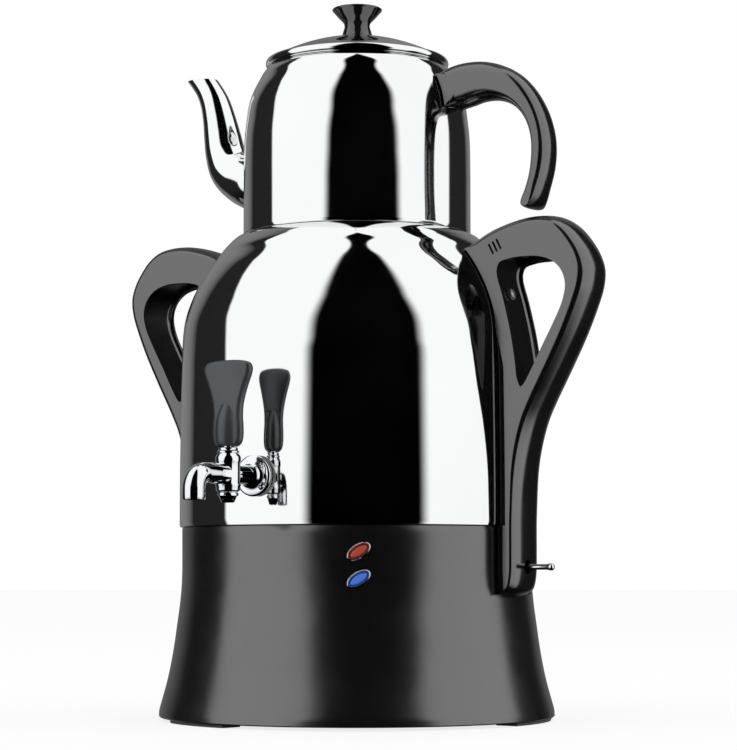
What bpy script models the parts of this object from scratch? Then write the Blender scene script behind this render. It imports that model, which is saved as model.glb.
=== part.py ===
"""Electric samovar with a teapot in the kettle's mouth, at real size in metres.

The upright axis of the kettle is the Z axis and the floor is z = 0. The tap points to -Y, the
handle with the switch to +X and the other handle to -X. The teapot's handle points to +X and its
spout to -X. The two lamps sit between the tap and the right handle.
"""
import bisect
import math

import bmesh
import bpy
from mathutils import Matrix, Vector
from mathutils.geometry import tessellate_polygon

# Fits shared by all pieces
SEAT_GAP = 0.0003
RUN_GAP = 0.0004
WELD_DISTANCE = 0.000001
CUT_OVERRUN = 0.002
LARGE_SIDES = 32
MEDIUM_SIDES = 18
SMALL_SIDES = 10

# Base, a flared moulding on three feet
BASE_FLARE = 0.0140
BASE_SETBACK = 0.0017
BASE_HEIGHT = 0.1205
BASE_WALL = 0.0026
BASE_FLANGE_WIDTH = 0.0183
BASE_PROFILE_SHARES = ((1.0, 0.0), (0.98, 0.035), (0.87, 0.085), (0.61, 0.20), (0.38, 0.34),
                       (0.20, 0.49), (0.07, 0.61), (0.0, 0.725), (0.0, 1.0))
FOOT_HEIGHT = 0.0020
FOOT_WIDTH = 0.0160
FOOT_HALF_ANGLE = math.radians(14.0)
FOOT_AZIMUTHS = tuple(math.radians(a) for a in (-22.0, 98.0, 218.0))
PLATE_THICKNESS = 0.0025
POST_RADIUS = 0.0048
POST_INSET = 0.0143
POST_AZIMUTHS = tuple(math.radians(a) for a in (-65.0, 55.0, 175.0))
BASE_SCREW_RADIUS = 0.0018
BASE_SCREW_HEAD_RADIUS = 0.0036
BASE_SCREW_HEAD_HEIGHT = 0.0016
BASE_SCREW_LENGTH = 0.0120

# Kettle, a thin polished shell with a welded bottom
KETTLE_RADIUS = 0.1127
KETTLE_HEIGHT = 0.1863
KETTLE_WALL = 0.0010
KETTLE_NECK_MARGIN = 0.0014
KETTLE_RIM_SHARE = 0.006
KETTLE_PROFILE_SHARES = ((1.0, 0.1578), (0.9749, 0.6375), (0.938, 0.6928), (0.8568, 0.7531),
                         (0.7252, 0.8165), (0.5623, 0.874), (0.3664, 0.9275), (0.2161, 0.9679),
                         (0.0948, 0.9891), (0.0, 1.0))
KETTLE_FLANGE_WIDTH = 0.0119
KETTLE_BOTTOM_THICKNESS = 0.0015
LEDGE_DEPTH = 0.0013
LEDGE_SHRINK = 0.0009
MOUTH_PLAY = 0.0050
MOUTH_LIP_DEPTH = 0.0044
SEAT_RING_THICKNESS = 0.0011
SEAT_RING_WALL = 0.0030
SEAT_RING_SKIRT_SHARE = 0.95

# Heating parts
ELEMENT_TUBE_RADIUS = 0.0035
ELEMENT_RING_RADIUS = 0.0680
ELEMENT_LIFT = 0.0140
ELEMENT_OPEN_ANGLE = math.radians(28.0)
ELEMENT_TAIL = 0.0100
ELEMENT_SEAL_RADIUS = 0.0065
ELEMENT_SEAL_HEIGHT = 0.0034
WARMER_RADIUS = 0.0350
WARMER_THICKNESS = 0.0050
THERMOSTAT_RADIUS = 0.0090
THERMOSTAT_HEIGHT = 0.0095
THERMOSTAT_PLACE = 0.0600
TERMINAL_SIZE = (0.0400, 0.0200, 0.0160)
TERMINAL_PLACE = -0.0300
TERMINAL_WELL_RADIUS = 0.0022
TERMINAL_COUNT = 3

# Power inlet in the back wall
INLET_WIDTH = 0.0280
INLET_TALL = 0.0210
INLET_DEPTH = 0.0240
INLET_Z = 0.0420
INLET_SETBACK = 0.0072
INLET_WALL = 0.0020
INLET_SOCKET_DEPTH = 0.0160
INLET_CORNER = 0.0040
PIN_WIDTH = 0.0020
PIN_TALL = 0.0040
PIN_LENGTH = 0.0100
PIN_PITCH = 0.0070

# Lamps, slanted ovals on the wall between the tap and the right handle
LAMP_AZIMUTH = math.radians(33.0)
RED_LAMP_DROP = 0.0157
BLUE_LAMP_DROP = 0.0320
LAMP_LENGTH = 0.0159
LAMP_WIDTH = 0.0088
LAMP_TILT = math.radians(33.0)
BEZEL_BORDER = 0.0017
BEZEL_PROUD = 0.0013
BEZEL_DEPTH = 0.0050
LENS_PROUD = 0.0016
LENS_DEPTH = 0.0085
LAMP_BOARD_WIDTH = 0.0180
LAMP_BOARD_TALL = 0.0340
LAMP_BOARD_THICKNESS = 0.0016
LAMP_CHIP_RADIUS = 0.0020
LAMP_CHIP_HEIGHT = 0.0022

# Side handles, flat closed loops that run down to the base
HANDLE_FOOT_DROP = 0.0415
HANDLE_RISE = 0.0020
HANDLE_REACH = 0.0598
HANDLE_WIDTH = 0.0340
HANDLE_EDGE = 0.0020
HANDLE_CROWN = 0.0014
HANDLE_RELIEF = 0.0054
HANDLE_RELIEF_TOP_SHARE = 0.70
HANDLE_TOP_SHARE = 0.925
HANDLE_OUTLINE_SHARES = ((0.121, 0.9901), (0.2991, 0.9982), (0.475, 0.9982), (0.62, 0.9901),
                         (0.7478, 0.9689), (0.8555, 0.9375), (0.948, 0.899), (0.9988, 0.8566),
                         (0.9844, 0.8101), (0.9236, 0.7627), (0.798, 0.6872), (0.663, 0.6188),
                         (0.5432, 0.5616), (0.4368, 0.5115), (0.3403, 0.4624), (0.2682, 0.4084),
                         (0.2166, 0.3515), (0.1866, 0.2916), (0.1674, 0.1971), (0.1651, 0.1077),
                         (0.1578, 0.0482), (0.1217, 0.0125), (0.0589, 0.0))
SLOT_SHARES = ((0.1237, 0.901), (0.2917, 0.9041), (0.4791, 0.901), (0.6514, 0.8849),
               (0.7718, 0.8535), (0.8217, 0.8111), (0.7846, 0.7607), (0.6704, 0.7003),
               (0.5506, 0.645), (0.4259, 0.5847), (0.3116, 0.5395), (0.2377, 0.5335))

# Handle points measured out from the wall at their own height
HANDLE_LIP_SHARES = ((0.1325, 0.9476), (0.3803, 0.9709))
SLOT_WALL_SHARES = ((0.18, 0.5586), (0.1504, 0.6168), (0.1006, 0.6973), (0.0829, 0.7799),
                    (0.1298, 0.8566), (0.2503, 0.8889))
SEAT_FOOT_SHARES = (0.0, 0.0395)
SEAT_HEIGHT_SHARES = (0.31, 0.44, 0.565, 0.66, 0.72, 0.762, 0.800, 0.832, 0.862, 0.892)
SEAT_STEP_BELOW = 0.0025
SEAT_STEP_ABOVE = 0.0004
HANDLE_SCREW_RADIUS = 0.0018
HANDLE_HEAD_RADIUS = 0.0040
HANDLE_HEAD_HEIGHT = 0.0024
UPPER_SCREW_SHARE = 0.800
UPPER_SCREW_LENGTH = 0.0040
LOWER_SCREW_DROP = 0.0087
LOWER_SCREW_LENGTH = 0.0108

# Switch in the right handle's foot
SWITCH_DROP = 0.0248
SWITCH_WIDTH = 0.0125
SWITCH_TALL = 0.0185
SWITCH_DEPTH = 0.0200
SWITCH_COVER = 0.0052
SWITCH_WELL_RADIUS = 0.0032
SWITCH_PIN_RADIUS = 0.00175
SWITCH_BALL_RADIUS = 0.0026
SWITCH_TIP_RADIUS = 0.0022
SWITCH_PIN_LENGTH = 0.0260
SWITCH_HOLE_RADIUS = 0.0044

# Tap, a plug cock on a short pipe
TAP_RISE = 0.0292
TAP_PIPE_RADIUS = 0.0060
TAP_BORE_RADIUS = 0.0034
TAP_FLANGE_RADIUS = 0.0125
TAP_FLANGE_THICKNESS = 0.0024
TAP_WASHER_THICKNESS = 0.0015
TAP_VALVE_REACH = 0.0286
TAP_VALVE_RADIUS = 0.0072
TAP_VALVE_ABOVE = 0.0120
TAP_VALVE_BELOW = 0.0105
TAP_SPOUT_REACH = 0.0342
TAP_SPOUT_RADIUS = 0.0067
TAP_SPOUT_BORE = 0.0050
TAP_SPOUT_BEND = 0.0095
TAP_SPOUT_DROP = 0.0160
TAP_NUT_RADIUS = 0.0105
TAP_NUT_THICKNESS = 0.0050
TAP_THREAD_LENGTH = 0.0120
PLUG_TOP_RADIUS = 0.0052
PLUG_BOTTOM_RADIUS = 0.0042
STEM_RADIUS = 0.0032
STEM_COLLAR_RADIUS = 0.0066
CAP_TOP_RADIUS = 0.0062
CAP_BOTTOM_RADIUS = 0.0042
CAP_HEIGHT = 0.0060
GRIP_BOTTOM = 0.0160
GRIP_HEIGHT = 0.0515
GRIP_WIDTH = 0.0340
GRIP_THICKNESS = 0.0064
GRIP_EDGE = 0.0014
GRIP_OUTLINE_SHARES = ((0.36, 0.0), (0.52, 0.035), (0.60, 0.12), (0.60, 0.24), (0.575, 0.36),
                       (0.60, 0.48), (0.69, 0.60), (0.83, 0.73), (0.96, 0.84), (0.985, 0.91),
                       (0.88, 0.965), (0.60, 0.99), (0.25, 1.0))
HUB_RADIUS = 0.0080
HUB_SHARES = ((0.70, 0.0), (0.94, 0.05), (1.0, 0.15), (0.98, 0.27), (0.84, 0.37), (0.58, 0.45),
              (0.26, 0.51))
HUB_BOTTOM_LIFT = 0.0004

# Teapot
POT_RADIUS = 0.0730
POT_HEIGHT = 0.1092
POT_WALL = 0.0009
POT_FOOT_STEP = 0.0127
POT_FOOT_DEPTH = 0.0080
POT_FOOT_CORNER = 0.0025
POT_PROFILE_SHARES = ((1.0, 0.0), (1.0, 0.339), (0.9945, 0.5737), (0.978, 0.6687),
                      (0.9525, 0.7739), (0.9128, 0.8491), (0.8549, 0.9113), (0.785, 1.0))
STRAINER_HOLE_RADIUS = 0.0021
STRAINER_PITCH = 0.0064
STRAINER_RING = 6
STRAINER_SHARE = 0.40
STRAINER_HOLE_SIDES = 8

# Teapot spout: distance out from the pot's wall and height above its foot, with the radius there
SPOUT_LENGTH = 0.0500
SPOUT_PATH_SHARES = ((-0.0952, 0.3849, 0.1956), (0.1084, 0.3899, 0.1818),
                     (0.3333, 0.4228, 0.1586), (0.5167, 0.4837, 0.1399), (0.6157, 0.5737, 0.1242),
                     (0.6699, 0.6777, 0.1148), (0.7243, 0.7909, 0.102), (0.7977, 0.9003, 0.0907),
                     (0.903, 0.9896, 0.0805), (1.0242, 1.061, 0.0759), (1.1171, 1.1093, 0.0749))
SPOUT_MOUTH_SHARE = 1.052
SPOUT_WALL = 0.0010

# Teapot handle, an open hook
HOOK_WIDTH = 0.0220
HOOK_OUTLINE_SHARES = ((-0.0704, 0.9243), (0.0589, 0.9434), (0.2042, 0.9484), (0.3545, 0.9384),
                       (0.4945, 0.9103), (0.6323, 0.8661), (0.7548, 0.8009), (0.8571, 0.7148),
                       (0.9361, 0.6147), (0.9859, 0.5057), (1.0, 0.4038), (0.9815, 0.2941),
                       (0.9354, 0.1945), (0.8755, 0.1049), (0.8303, 0.0801), (0.7884, 0.0751),
                       (0.7436, 0.088), (0.7409, 0.1149), (0.7806, 0.1895), (0.8185, 0.2742),
                       (0.8365, 0.3739), (0.8325, 0.4637), (0.7914, 0.5537), (0.7091, 0.632),
                       (0.5975, 0.6867), (0.4526, 0.7177), (0.3075, 0.7197), (0.1823, 0.7027),
                       (0.0721, 0.6897))
HOOK_OUTER_POINTS = 15
HOOK_REACH = 0.0691
HOOK_TOP_SHARE = 0.894
HOOK_SEAT_SHARES = (0.697, 0.735, 0.775, 0.82, 0.86)
HOOK_OUTER_ROUND_SHARE = 0.17
HOOK_INNER_ROUND_SHARE = 0.36
HOOK_SCREW_SHARE = 0.79
HOOK_SCREW_TILT = math.radians(22.0)

# Lid and knob
LID_OVERHANG = 0.0018
LID_DOME_RADIUS = 0.1041
LID_WALL = 0.0009
LID_BEAD_HEIGHT = 0.0052
LID_BEAD_WIDTH = 0.0034
LID_COLLAR_DEPTH = 0.0044
LID_COLLAR_GAP = 0.0012
LID_DOME_STEPS = 3
KNOB_RADIUS = 0.0161
KNOB_HEIGHT = 0.0195
KNOB_PROFILE_SHARES = ((0.64, 0.0), (0.55, 0.24), (0.51, 0.39), (0.64, 0.575), (0.83, 0.76),
                       (1.0, 0.92), (0.975, 0.965), (0.78, 0.99), (0.0, 1.0))
KNOB_SCREW_RADIUS = 0.0018
KNOB_SCREW_HEAD_RADIUS = 0.0044
KNOB_SCREW_HEAD_HEIGHT = 0.0024
KNOB_SCREW_DEPTH = 0.0100

# Places that follow from the sizes above
PLATE_Z = FOOT_HEIGHT
PLATE_TOP = PLATE_Z + PLATE_THICKNESS
KETTLE_Z = BASE_HEIGHT + SEAT_GAP
KETTLE_TOP = KETTLE_Z + KETTLE_HEIGHT
BOTTOM_Z = KETTLE_Z + KETTLE_WALL + SEAT_GAP
BOTTOM_TOP = BOTTOM_Z + KETTLE_BOTTOM_THICKNESS
LEDGE_Z = KETTLE_TOP - LEDGE_DEPTH
SEAT_RING_Z = LEDGE_Z + SEAT_GAP
POT_Z = SEAT_RING_Z + SEAT_RING_THICKNESS + SEAT_GAP
POT_TOP = POT_Z + POT_HEIGHT
LID_Z = POT_TOP + SEAT_GAP
TAP_Z = KETTLE_Z + TAP_RISE
TAP_VALVE_Y = -(KETTLE_RADIUS + TAP_VALVE_REACH)
BASE_TOP_RADIUS = KETTLE_RADIUS - BASE_SETBACK
BASE_RADIUS = BASE_TOP_RADIUS + BASE_FLARE
BASE_FLANGE_RADIUS = BASE_TOP_RADIUS - BASE_FLANGE_WIDTH
POST_CIRCLE = BASE_TOP_RADIUS - POST_INSET
INLET_FACE = BASE_RADIUS - INLET_SETBACK
KETTLE_FLANGE_RADIUS = KETTLE_RADIUS - KETTLE_FLANGE_WIDTH
KETTLE_NECK_RADIUS = POT_RADIUS + KETTLE_NECK_MARGIN
POT_FOOT_RADIUS = POT_RADIUS - POT_FOOT_STEP
MOUTH_RADIUS = POT_FOOT_RADIUS + MOUTH_PLAY
LID_RADIUS = POT_RADIUS * POT_PROFILE_SHARES[-1][0] + LID_OVERHANG
LAMP_HEIGHTS = {"red": BASE_HEIGHT - RED_LAMP_DROP, "blue": BASE_HEIGHT - BLUE_LAMP_DROP}
HANDLE_FOOT_Z = BASE_HEIGHT - HANDLE_FOOT_DROP
HANDLE_HEIGHT = KETTLE_TOP + HANDLE_RISE - HANDLE_FOOT_Z
LOWER_SCREW_Z = BASE_HEIGHT - LOWER_SCREW_DROP
SWITCH_Z = BASE_HEIGHT - SWITCH_DROP


def clear_scene():
    """Remove every object, so the script always starts empty."""
    for item in list(bpy.data.objects):
        bpy.data.objects.remove(item, do_unlink=True)


def finish(name, colour, roughness, metallic):
    """Make a plain Principled material."""
    material = bpy.data.materials.new(name)
    material.use_nodes = True
    shader = material.node_tree.nodes["Principled BSDF"]
    shader.inputs["Base Color"].default_value = (*colour, 1.0)
    shader.inputs["Roughness"].default_value = roughness
    shader.inputs["Metallic"].default_value = metallic
    return material


def place_mesh(name, bm, material, parent=None, keep_normals=False):
    """Turn a bmesh into a shaded, named object."""
    bmesh.ops.remove_doubles(bm, verts=bm.verts, dist=WELD_DISTANCE)
    if not keep_normals:
        bmesh.ops.recalc_face_normals(bm, faces=bm.faces)
    mesh = bpy.data.meshes.new(name)
    bm.to_mesh(mesh)
    bm.free()
    mesh.shade_smooth()
    mesh.set_sharp_from_angle(angle=math.radians(32.0))
    item = bpy.data.objects.new(name, mesh)
    bpy.context.scene.collection.objects.link(item)
    if material is not None:
        mesh.materials.append(material)
    if parent is not None:
        item.parent = parent
    return item


def lathe_mesh(profile, sides, closed):
    """Spin a profile of (radius, height) about the Z axis."""
    bm = bmesh.new()
    verts = [bm.verts.new((radius, 0.0, height)) for radius, height in profile]
    ends = list(zip(verts, verts[1:]))
    if closed:
        ends.append((verts[-1], verts[0]))
    edges = [bm.edges.new(pair) for pair in ends]
    bmesh.ops.spin(bm, geom=verts + edges, cent=(0.0, 0.0, 0.0), axis=(0.0, 0.0, 1.0),
                   angle=2.0 * math.pi, steps=sides, use_merge=True, use_duplicate=False)
    return bm


def lathe(name, profile, material, sides=LARGE_SIDES, closed=True, turn=None, parent=None):
    """Make a turned piece, and turn or move it with a matrix if one is given."""
    bm = lathe_mesh(profile, sides, closed)
    if turn is not None:
        bmesh.ops.transform(bm, matrix=turn, verts=bm.verts)
    return place_mesh(name, bm, material, parent)


def rod_profile(radius, low, high, edge=0.0):
    """Profile of a solid round rod between two heights, with broken edges."""
    return [(0.0, low), (radius - edge, low), (radius, low + edge), (radius, high - edge),
            (radius - edge, high), (0.0, high)] if edge else [
                (0.0, low), (radius, low), (radius, high), (0.0, high)]


def ring_profile(inner, outer, low, high):
    """Profile of a plain ring."""
    return [(inner, low), (outer, low), (outer, high), (inner, high)]


def skin_rings(rings, wrap=False):
    """Join rings of points with quads; cap the two ends unless the rings wrap round."""
    bm = bmesh.new()
    rows = [[bm.verts.new(point) for point in ring] for ring in rings]
    count = len(rows[0])
    pairs = list(zip(rows, rows[1:]))
    if wrap:
        pairs.append((rows[-1], rows[0]))
    for first, second in pairs:
        for i in range(count):
            j = (i + 1) % count
            bm.faces.new((first[i], first[j], second[j], second[i]))
    if not wrap:
        bm.faces.new(reversed(rows[0]))
        bm.faces.new(rows[-1])
    return bm


def sweep_rings(points, radii, sides, side):
    """Circles along a path that lies in the plane square to the side vector."""
    rings = []
    last = len(points) - 1
    for i, point in enumerate(points):
        ahead = (points[min(i + 1, last)] - points[max(i - 1, 0)]).normalized()
        up = ahead.cross(side)
        rings.append([point + (side * math.cos(a) + up * math.sin(a)) * radii[i]
                      for a in (2.0 * math.pi * k / sides for k in range(sides))])
    return rings


def sweep_tube(points, radii, wall, sides, side):
    """A hollow tube along a path, open at both ends."""
    outer = sweep_rings(points, radii, sides, side)
    inner = sweep_rings(points, [r - wall for r in radii], sides, side)
    return skin_rings(outer + inner[::-1], wrap=True)


def outward_normals(points):
    """Unit normals of a closed outline, on the right-hand side of its direction."""
    normals = []
    count = len(points)
    for i in range(count):
        before = Vector(points[i - 1])
        after = Vector(points[(i + 1) % count])
        along = (after - before).normalized()
        normals.append(Vector((along.y, -along.x)))
    return normals


def inset_profile(points, wall):
    """Move an open profile of (radius, height) inwards by a wall, keeping its order."""
    moved = []
    last = len(points) - 1
    for i, point in enumerate(points):
        along = Vector(points[min(i + 1, last)]) - Vector(points[max(i - 1, 0)])
        along.normalize()
        moved.append((point[0] - along.y * wall, point[1] + along.x * wall))
    return moved


def radius_at(profile, height):
    """Radius of a rising profile at a height."""
    heights = [z for _, z in profile]
    i = min(max(bisect.bisect_left(heights, height), 1), len(profile) - 1)
    (r0, z0), (r1, z1) = profile[i - 1], profile[i]
    t = min(max((height - z0) / (z1 - z0), 0.0), 1.0)
    return r0 + (r1 - r0) * t


def cutter(name, bm):
    """Turn a bmesh into a hidden guide that only cuts."""
    item = place_mesh(name, bm, None)
    item.hide_render = True
    item.display_type = "WIRE"
    return item


def boolean(item, guide, operation="DIFFERENCE"):
    """Cut or join one object with a hidden guide."""
    step = item.modifiers.new(operation.title(), "BOOLEAN")
    step.operation = operation
    step.solver = "EXACT"
    step.object = guide


def box_mesh(low, high):
    """A box between two corners."""
    bm = bmesh.new()
    bmesh.ops.create_cube(bm, size=1.0)
    centre = (Vector(low) + Vector(high)) / 2.0
    span = Vector(high) - Vector(low)
    bmesh.ops.transform(bm, matrix=Matrix.Translation(centre) @ Matrix.Diagonal((*span, 1.0)),
                        verts=bm.verts)
    return bm


def radial_frame(azimuth, radius, height, tilt=0.0):
    """Frame whose Z points straight out of the wall, X along the wall and Y up."""
    out = Vector((math.sin(azimuth), -math.cos(azimuth), 0.0))
    along = Vector((math.cos(azimuth), math.sin(azimuth), 0.0))
    up = Vector((0.0, 0.0, 1.0))
    frame = Matrix((along, up, out)).transposed().to_4x4()
    frame.translation = out * radius + up * height
    return frame @ Matrix.Rotation(tilt, 4, "Z")


def hex_nut(bore, corner, low, high):
    """A six-sided nut with a round bore, along Z."""
    angles = [2.0 * math.pi * k / SMALL_SIDES for k in range(SMALL_SIDES)]
    flat = corner * math.cos(math.pi / 6.0)
    wide = bore / math.cos(math.pi / SMALL_SIDES)
    outer = [(corner if k % 2 == 0 else flat) for k in range(SMALL_SIDES)]
    rings = []
    for radii, height in ((outer, low), (outer, high), ([wide] * SMALL_SIDES, high),
                          ([wide] * SMALL_SIDES, low)):
        rings.append([(r * math.cos(a), r * math.sin(a), height) for r, a in zip(radii, angles)])
    return skin_rings(rings, wrap=True)


def base_profile():
    """Outer profile of the base from the rim up."""
    flare = BASE_RADIUS - BASE_TOP_RADIUS
    rise = BASE_HEIGHT - FOOT_HEIGHT
    return [(BASE_TOP_RADIUS + flare * r, FOOT_HEIGHT + rise * z) for r, z in BASE_PROFILE_SHARES]


def kettle_profile():
    """Outer profile of the kettle from its lower rim to its mouth bead."""
    rim = KETTLE_RIM_SHARE * KETTLE_HEIGHT
    low = [(KETTLE_RADIUS - rim, KETTLE_Z), (KETTLE_RADIUS, KETTLE_Z + rim)]
    spread = KETTLE_RADIUS - KETTLE_NECK_RADIUS
    return low + [(KETTLE_NECK_RADIUS + spread * r, KETTLE_Z + KETTLE_HEIGHT * z)
                  for r, z in KETTLE_PROFILE_SHARES]


def pot_profile():
    """Outer profile of the teapot above its seat."""
    return [(POT_RADIUS * r, POT_Z + POT_HEIGHT * z) for r, z in POT_PROFILE_SHARES]


def wall_seat(height):
    """Radius that a side handle's inner face follows at a height."""
    if height < BASE_HEIGHT - BASE_WALL / 2.0:
        return radius_at(base_profile(), height) + RUN_GAP
    return radius_at(kettle_profile()[1:], max(height, KETTLE_Z + KETTLE_WALL)) + RUN_GAP


def pot_seat(height):
    """Radius that the teapot's handle follows at a height."""
    return radius_at(pot_profile(), height) + RUN_GAP


def build_base(plastic, rubber, steel):
    """The flared base shell with its screw posts, the plate, the feet and the screws."""
    outer = base_profile()
    inner = [(r - BASE_WALL, z) for r, z in outer[::2]]
    inner[-1] = (BASE_TOP_RADIUS - BASE_WALL, BASE_HEIGHT - BASE_WALL)
    ledge = [(BASE_FLANGE_RADIUS, BASE_HEIGHT), (BASE_FLANGE_RADIUS, BASE_HEIGHT - BASE_WALL)]
    shell = lathe("base_shell", outer + ledge + inner[::-1], plastic)
    plate = lathe("base_plate",
                  rod_profile(BASE_RADIUS - BASE_WALL - RUN_GAP * 2.0, PLATE_Z, PLATE_TOP),
                  plastic, closed=False)
    post_low = PLATE_TOP + SEAT_GAP
    post_high = BASE_HEIGHT - BASE_WALL / 2.0
    hole = BASE_SCREW_RADIUS + SEAT_GAP
    recess = PLATE_Z + BASE_SCREW_HEAD_HEIGHT
    for number, azimuth in enumerate(POST_AZIMUTHS, start=1):
        centre = Vector((math.sin(azimuth), -math.cos(azimuth), 0.0)) * POST_CIRCLE
        move = Matrix.Translation(centre)
        well = PLATE_Z + BASE_SCREW_LENGTH + SEAT_GAP
        post = lathe(f"post_guide_{number}",
                     [(0.0, well), (hole, well), (hole, post_low), (POST_RADIUS, post_low),
                      (POST_RADIUS, post_high), (0.0, post_high)],
                     None, SMALL_SIDES, closed=False, turn=move)
        post.hide_render = True
        post.display_type = "WIRE"
        boolean(shell, post, "UNION")
        head = BASE_SCREW_HEAD_RADIUS + SEAT_GAP
        plate_cut = lathe_mesh([(0.0, PLATE_Z - CUT_OVERRUN), (head, PLATE_Z - CUT_OVERRUN),
                                (head, recess + SEAT_GAP), (hole, recess + SEAT_GAP),
                                (hole, PLATE_TOP + CUT_OVERRUN),
                                (0.0, PLATE_TOP + CUT_OVERRUN)], SMALL_SIDES, False)
        bmesh.ops.transform(plate_cut, matrix=move, verts=plate_cut.verts)
        boolean(plate, cutter(f"plate_cut_{number}", plate_cut))
        lathe(f"base_screw_{number}",
              [(0.0, PLATE_Z), (BASE_SCREW_HEAD_RADIUS, PLATE_Z), (BASE_SCREW_HEAD_RADIUS, recess),
               (BASE_SCREW_RADIUS, recess), (BASE_SCREW_RADIUS, PLATE_Z + BASE_SCREW_LENGTH),
               (0.0, PLATE_Z + BASE_SCREW_LENGTH)],
              steel, SMALL_SIDES, closed=False, turn=move)
    outer_radius = BASE_RADIUS - BASE_WALL / 2.0
    for number, azimuth in enumerate(FOOT_AZIMUTHS, start=1):
        rings = []
        steps = 6
        for i in range(steps + 1):
            angle = azimuth + FOOT_HALF_ANGLE * (2.0 * i / steps - 1.0)
            out = Vector((math.sin(angle), -math.cos(angle), 0.0))
            top = FOOT_HEIGHT - SEAT_GAP
            taper = top / 2.0
            rings.append([out * (outer_radius - FOOT_WIDTH),
                          out * (outer_radius - taper),
                          out * outer_radius + Vector((0.0, 0.0, top)),
                          out * (outer_radius - FOOT_WIDTH) + Vector((0.0, 0.0, top))])
        place_mesh(f"rubber_foot_{number}", skin_rings(rings), rubber)
    return shell


def build_kettle(steel, seal):
    """The thin kettle shell, its welded bottom and the ring that the teapot stands on."""
    outer = kettle_profile()
    mouth = KETTLE_TOP - LEDGE_DEPTH
    neck = outer[-1][0] - LEDGE_SHRINK
    lip = MOUTH_RADIUS
    turned_in = [(neck, mouth), (lip, mouth), (lip, mouth - MOUTH_LIP_DEPTH),
                 (lip + KETTLE_WALL, mouth - MOUTH_LIP_DEPTH), (lip + KETTLE_WALL, mouth - KETTLE_WALL),
                 (neck, mouth - KETTLE_WALL)]
    inner = inset_profile(outer[2:-1], KETTLE_WALL)[::-2]
    low = [(KETTLE_RADIUS - KETTLE_WALL, KETTLE_Z + KETTLE_WALL),
           (KETTLE_FLANGE_RADIUS, KETTLE_Z + KETTLE_WALL), (KETTLE_FLANGE_RADIUS, KETTLE_Z)]
    shell = lathe("kettle_shell", outer + turned_in + inner + low, steel)
    tap_hole = lathe_mesh(rod_profile(TAP_PIPE_RADIUS + SEAT_GAP, -CUT_OVERRUN * 4.0,
                                      CUT_OVERRUN * 4.0), MEDIUM_SIDES, False)
    bmesh.ops.transform(tap_hole, matrix=radial_frame(0.0, KETTLE_RADIUS, TAP_Z),
                        verts=tap_hole.verts)
    boolean(shell, cutter("tap_hole_cut", tap_hole))
    disc = lathe("kettle_bottom",
                 rod_profile(KETTLE_RADIUS - KETTLE_WALL - SEAT_GAP, BOTTOM_Z, BOTTOM_TOP),
                 steel, closed=False)
    hole = ELEMENT_TUBE_RADIUS + SEAT_GAP
    for number, side in enumerate((-1.0, 1.0), start=1):
        foot = element_foot(side)
        cut = lathe_mesh(rod_profile(hole, BOTTOM_Z - CUT_OVERRUN, BOTTOM_TOP + CUT_OVERRUN),
                         SMALL_SIDES, False)
        bmesh.ops.transform(cut, matrix=Matrix.Translation(foot), verts=cut.verts)
        boolean(disc, cutter(f"element_cut_{number}", cut))
        low = BOTTOM_TOP + SEAT_GAP
        lathe(f"element_seal_{number}",
              ring_profile(hole, ELEMENT_SEAL_RADIUS, low, low + ELEMENT_SEAL_HEIGHT),
              seal, SMALL_SIDES, turn=Matrix.Translation(foot))
    ring_top = SEAT_RING_Z + SEAT_RING_THICKNESS
    ring_low = LEDGE_Z - MOUTH_LIP_DEPTH * SEAT_RING_SKIRT_SHARE
    inside = MOUTH_RADIUS - RUN_GAP
    lathe("pot_seat_ring",
          [(inside, SEAT_RING_Z), (neck - SEAT_GAP, SEAT_RING_Z), (neck - SEAT_GAP, ring_top),
           (inside - SEAT_RING_WALL, ring_top), (inside - SEAT_RING_WALL, ring_low),
           (inside, ring_low)], seal)


def element_foot(side):
    """Where one end of the heating tube goes down through the kettle's bottom."""
    angle = math.pi / 2.0 + side * ELEMENT_OPEN_ANGLE / 2.0
    return Vector((math.cos(angle), math.sin(angle), 0.0)) * ELEMENT_RING_RADIUS


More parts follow.
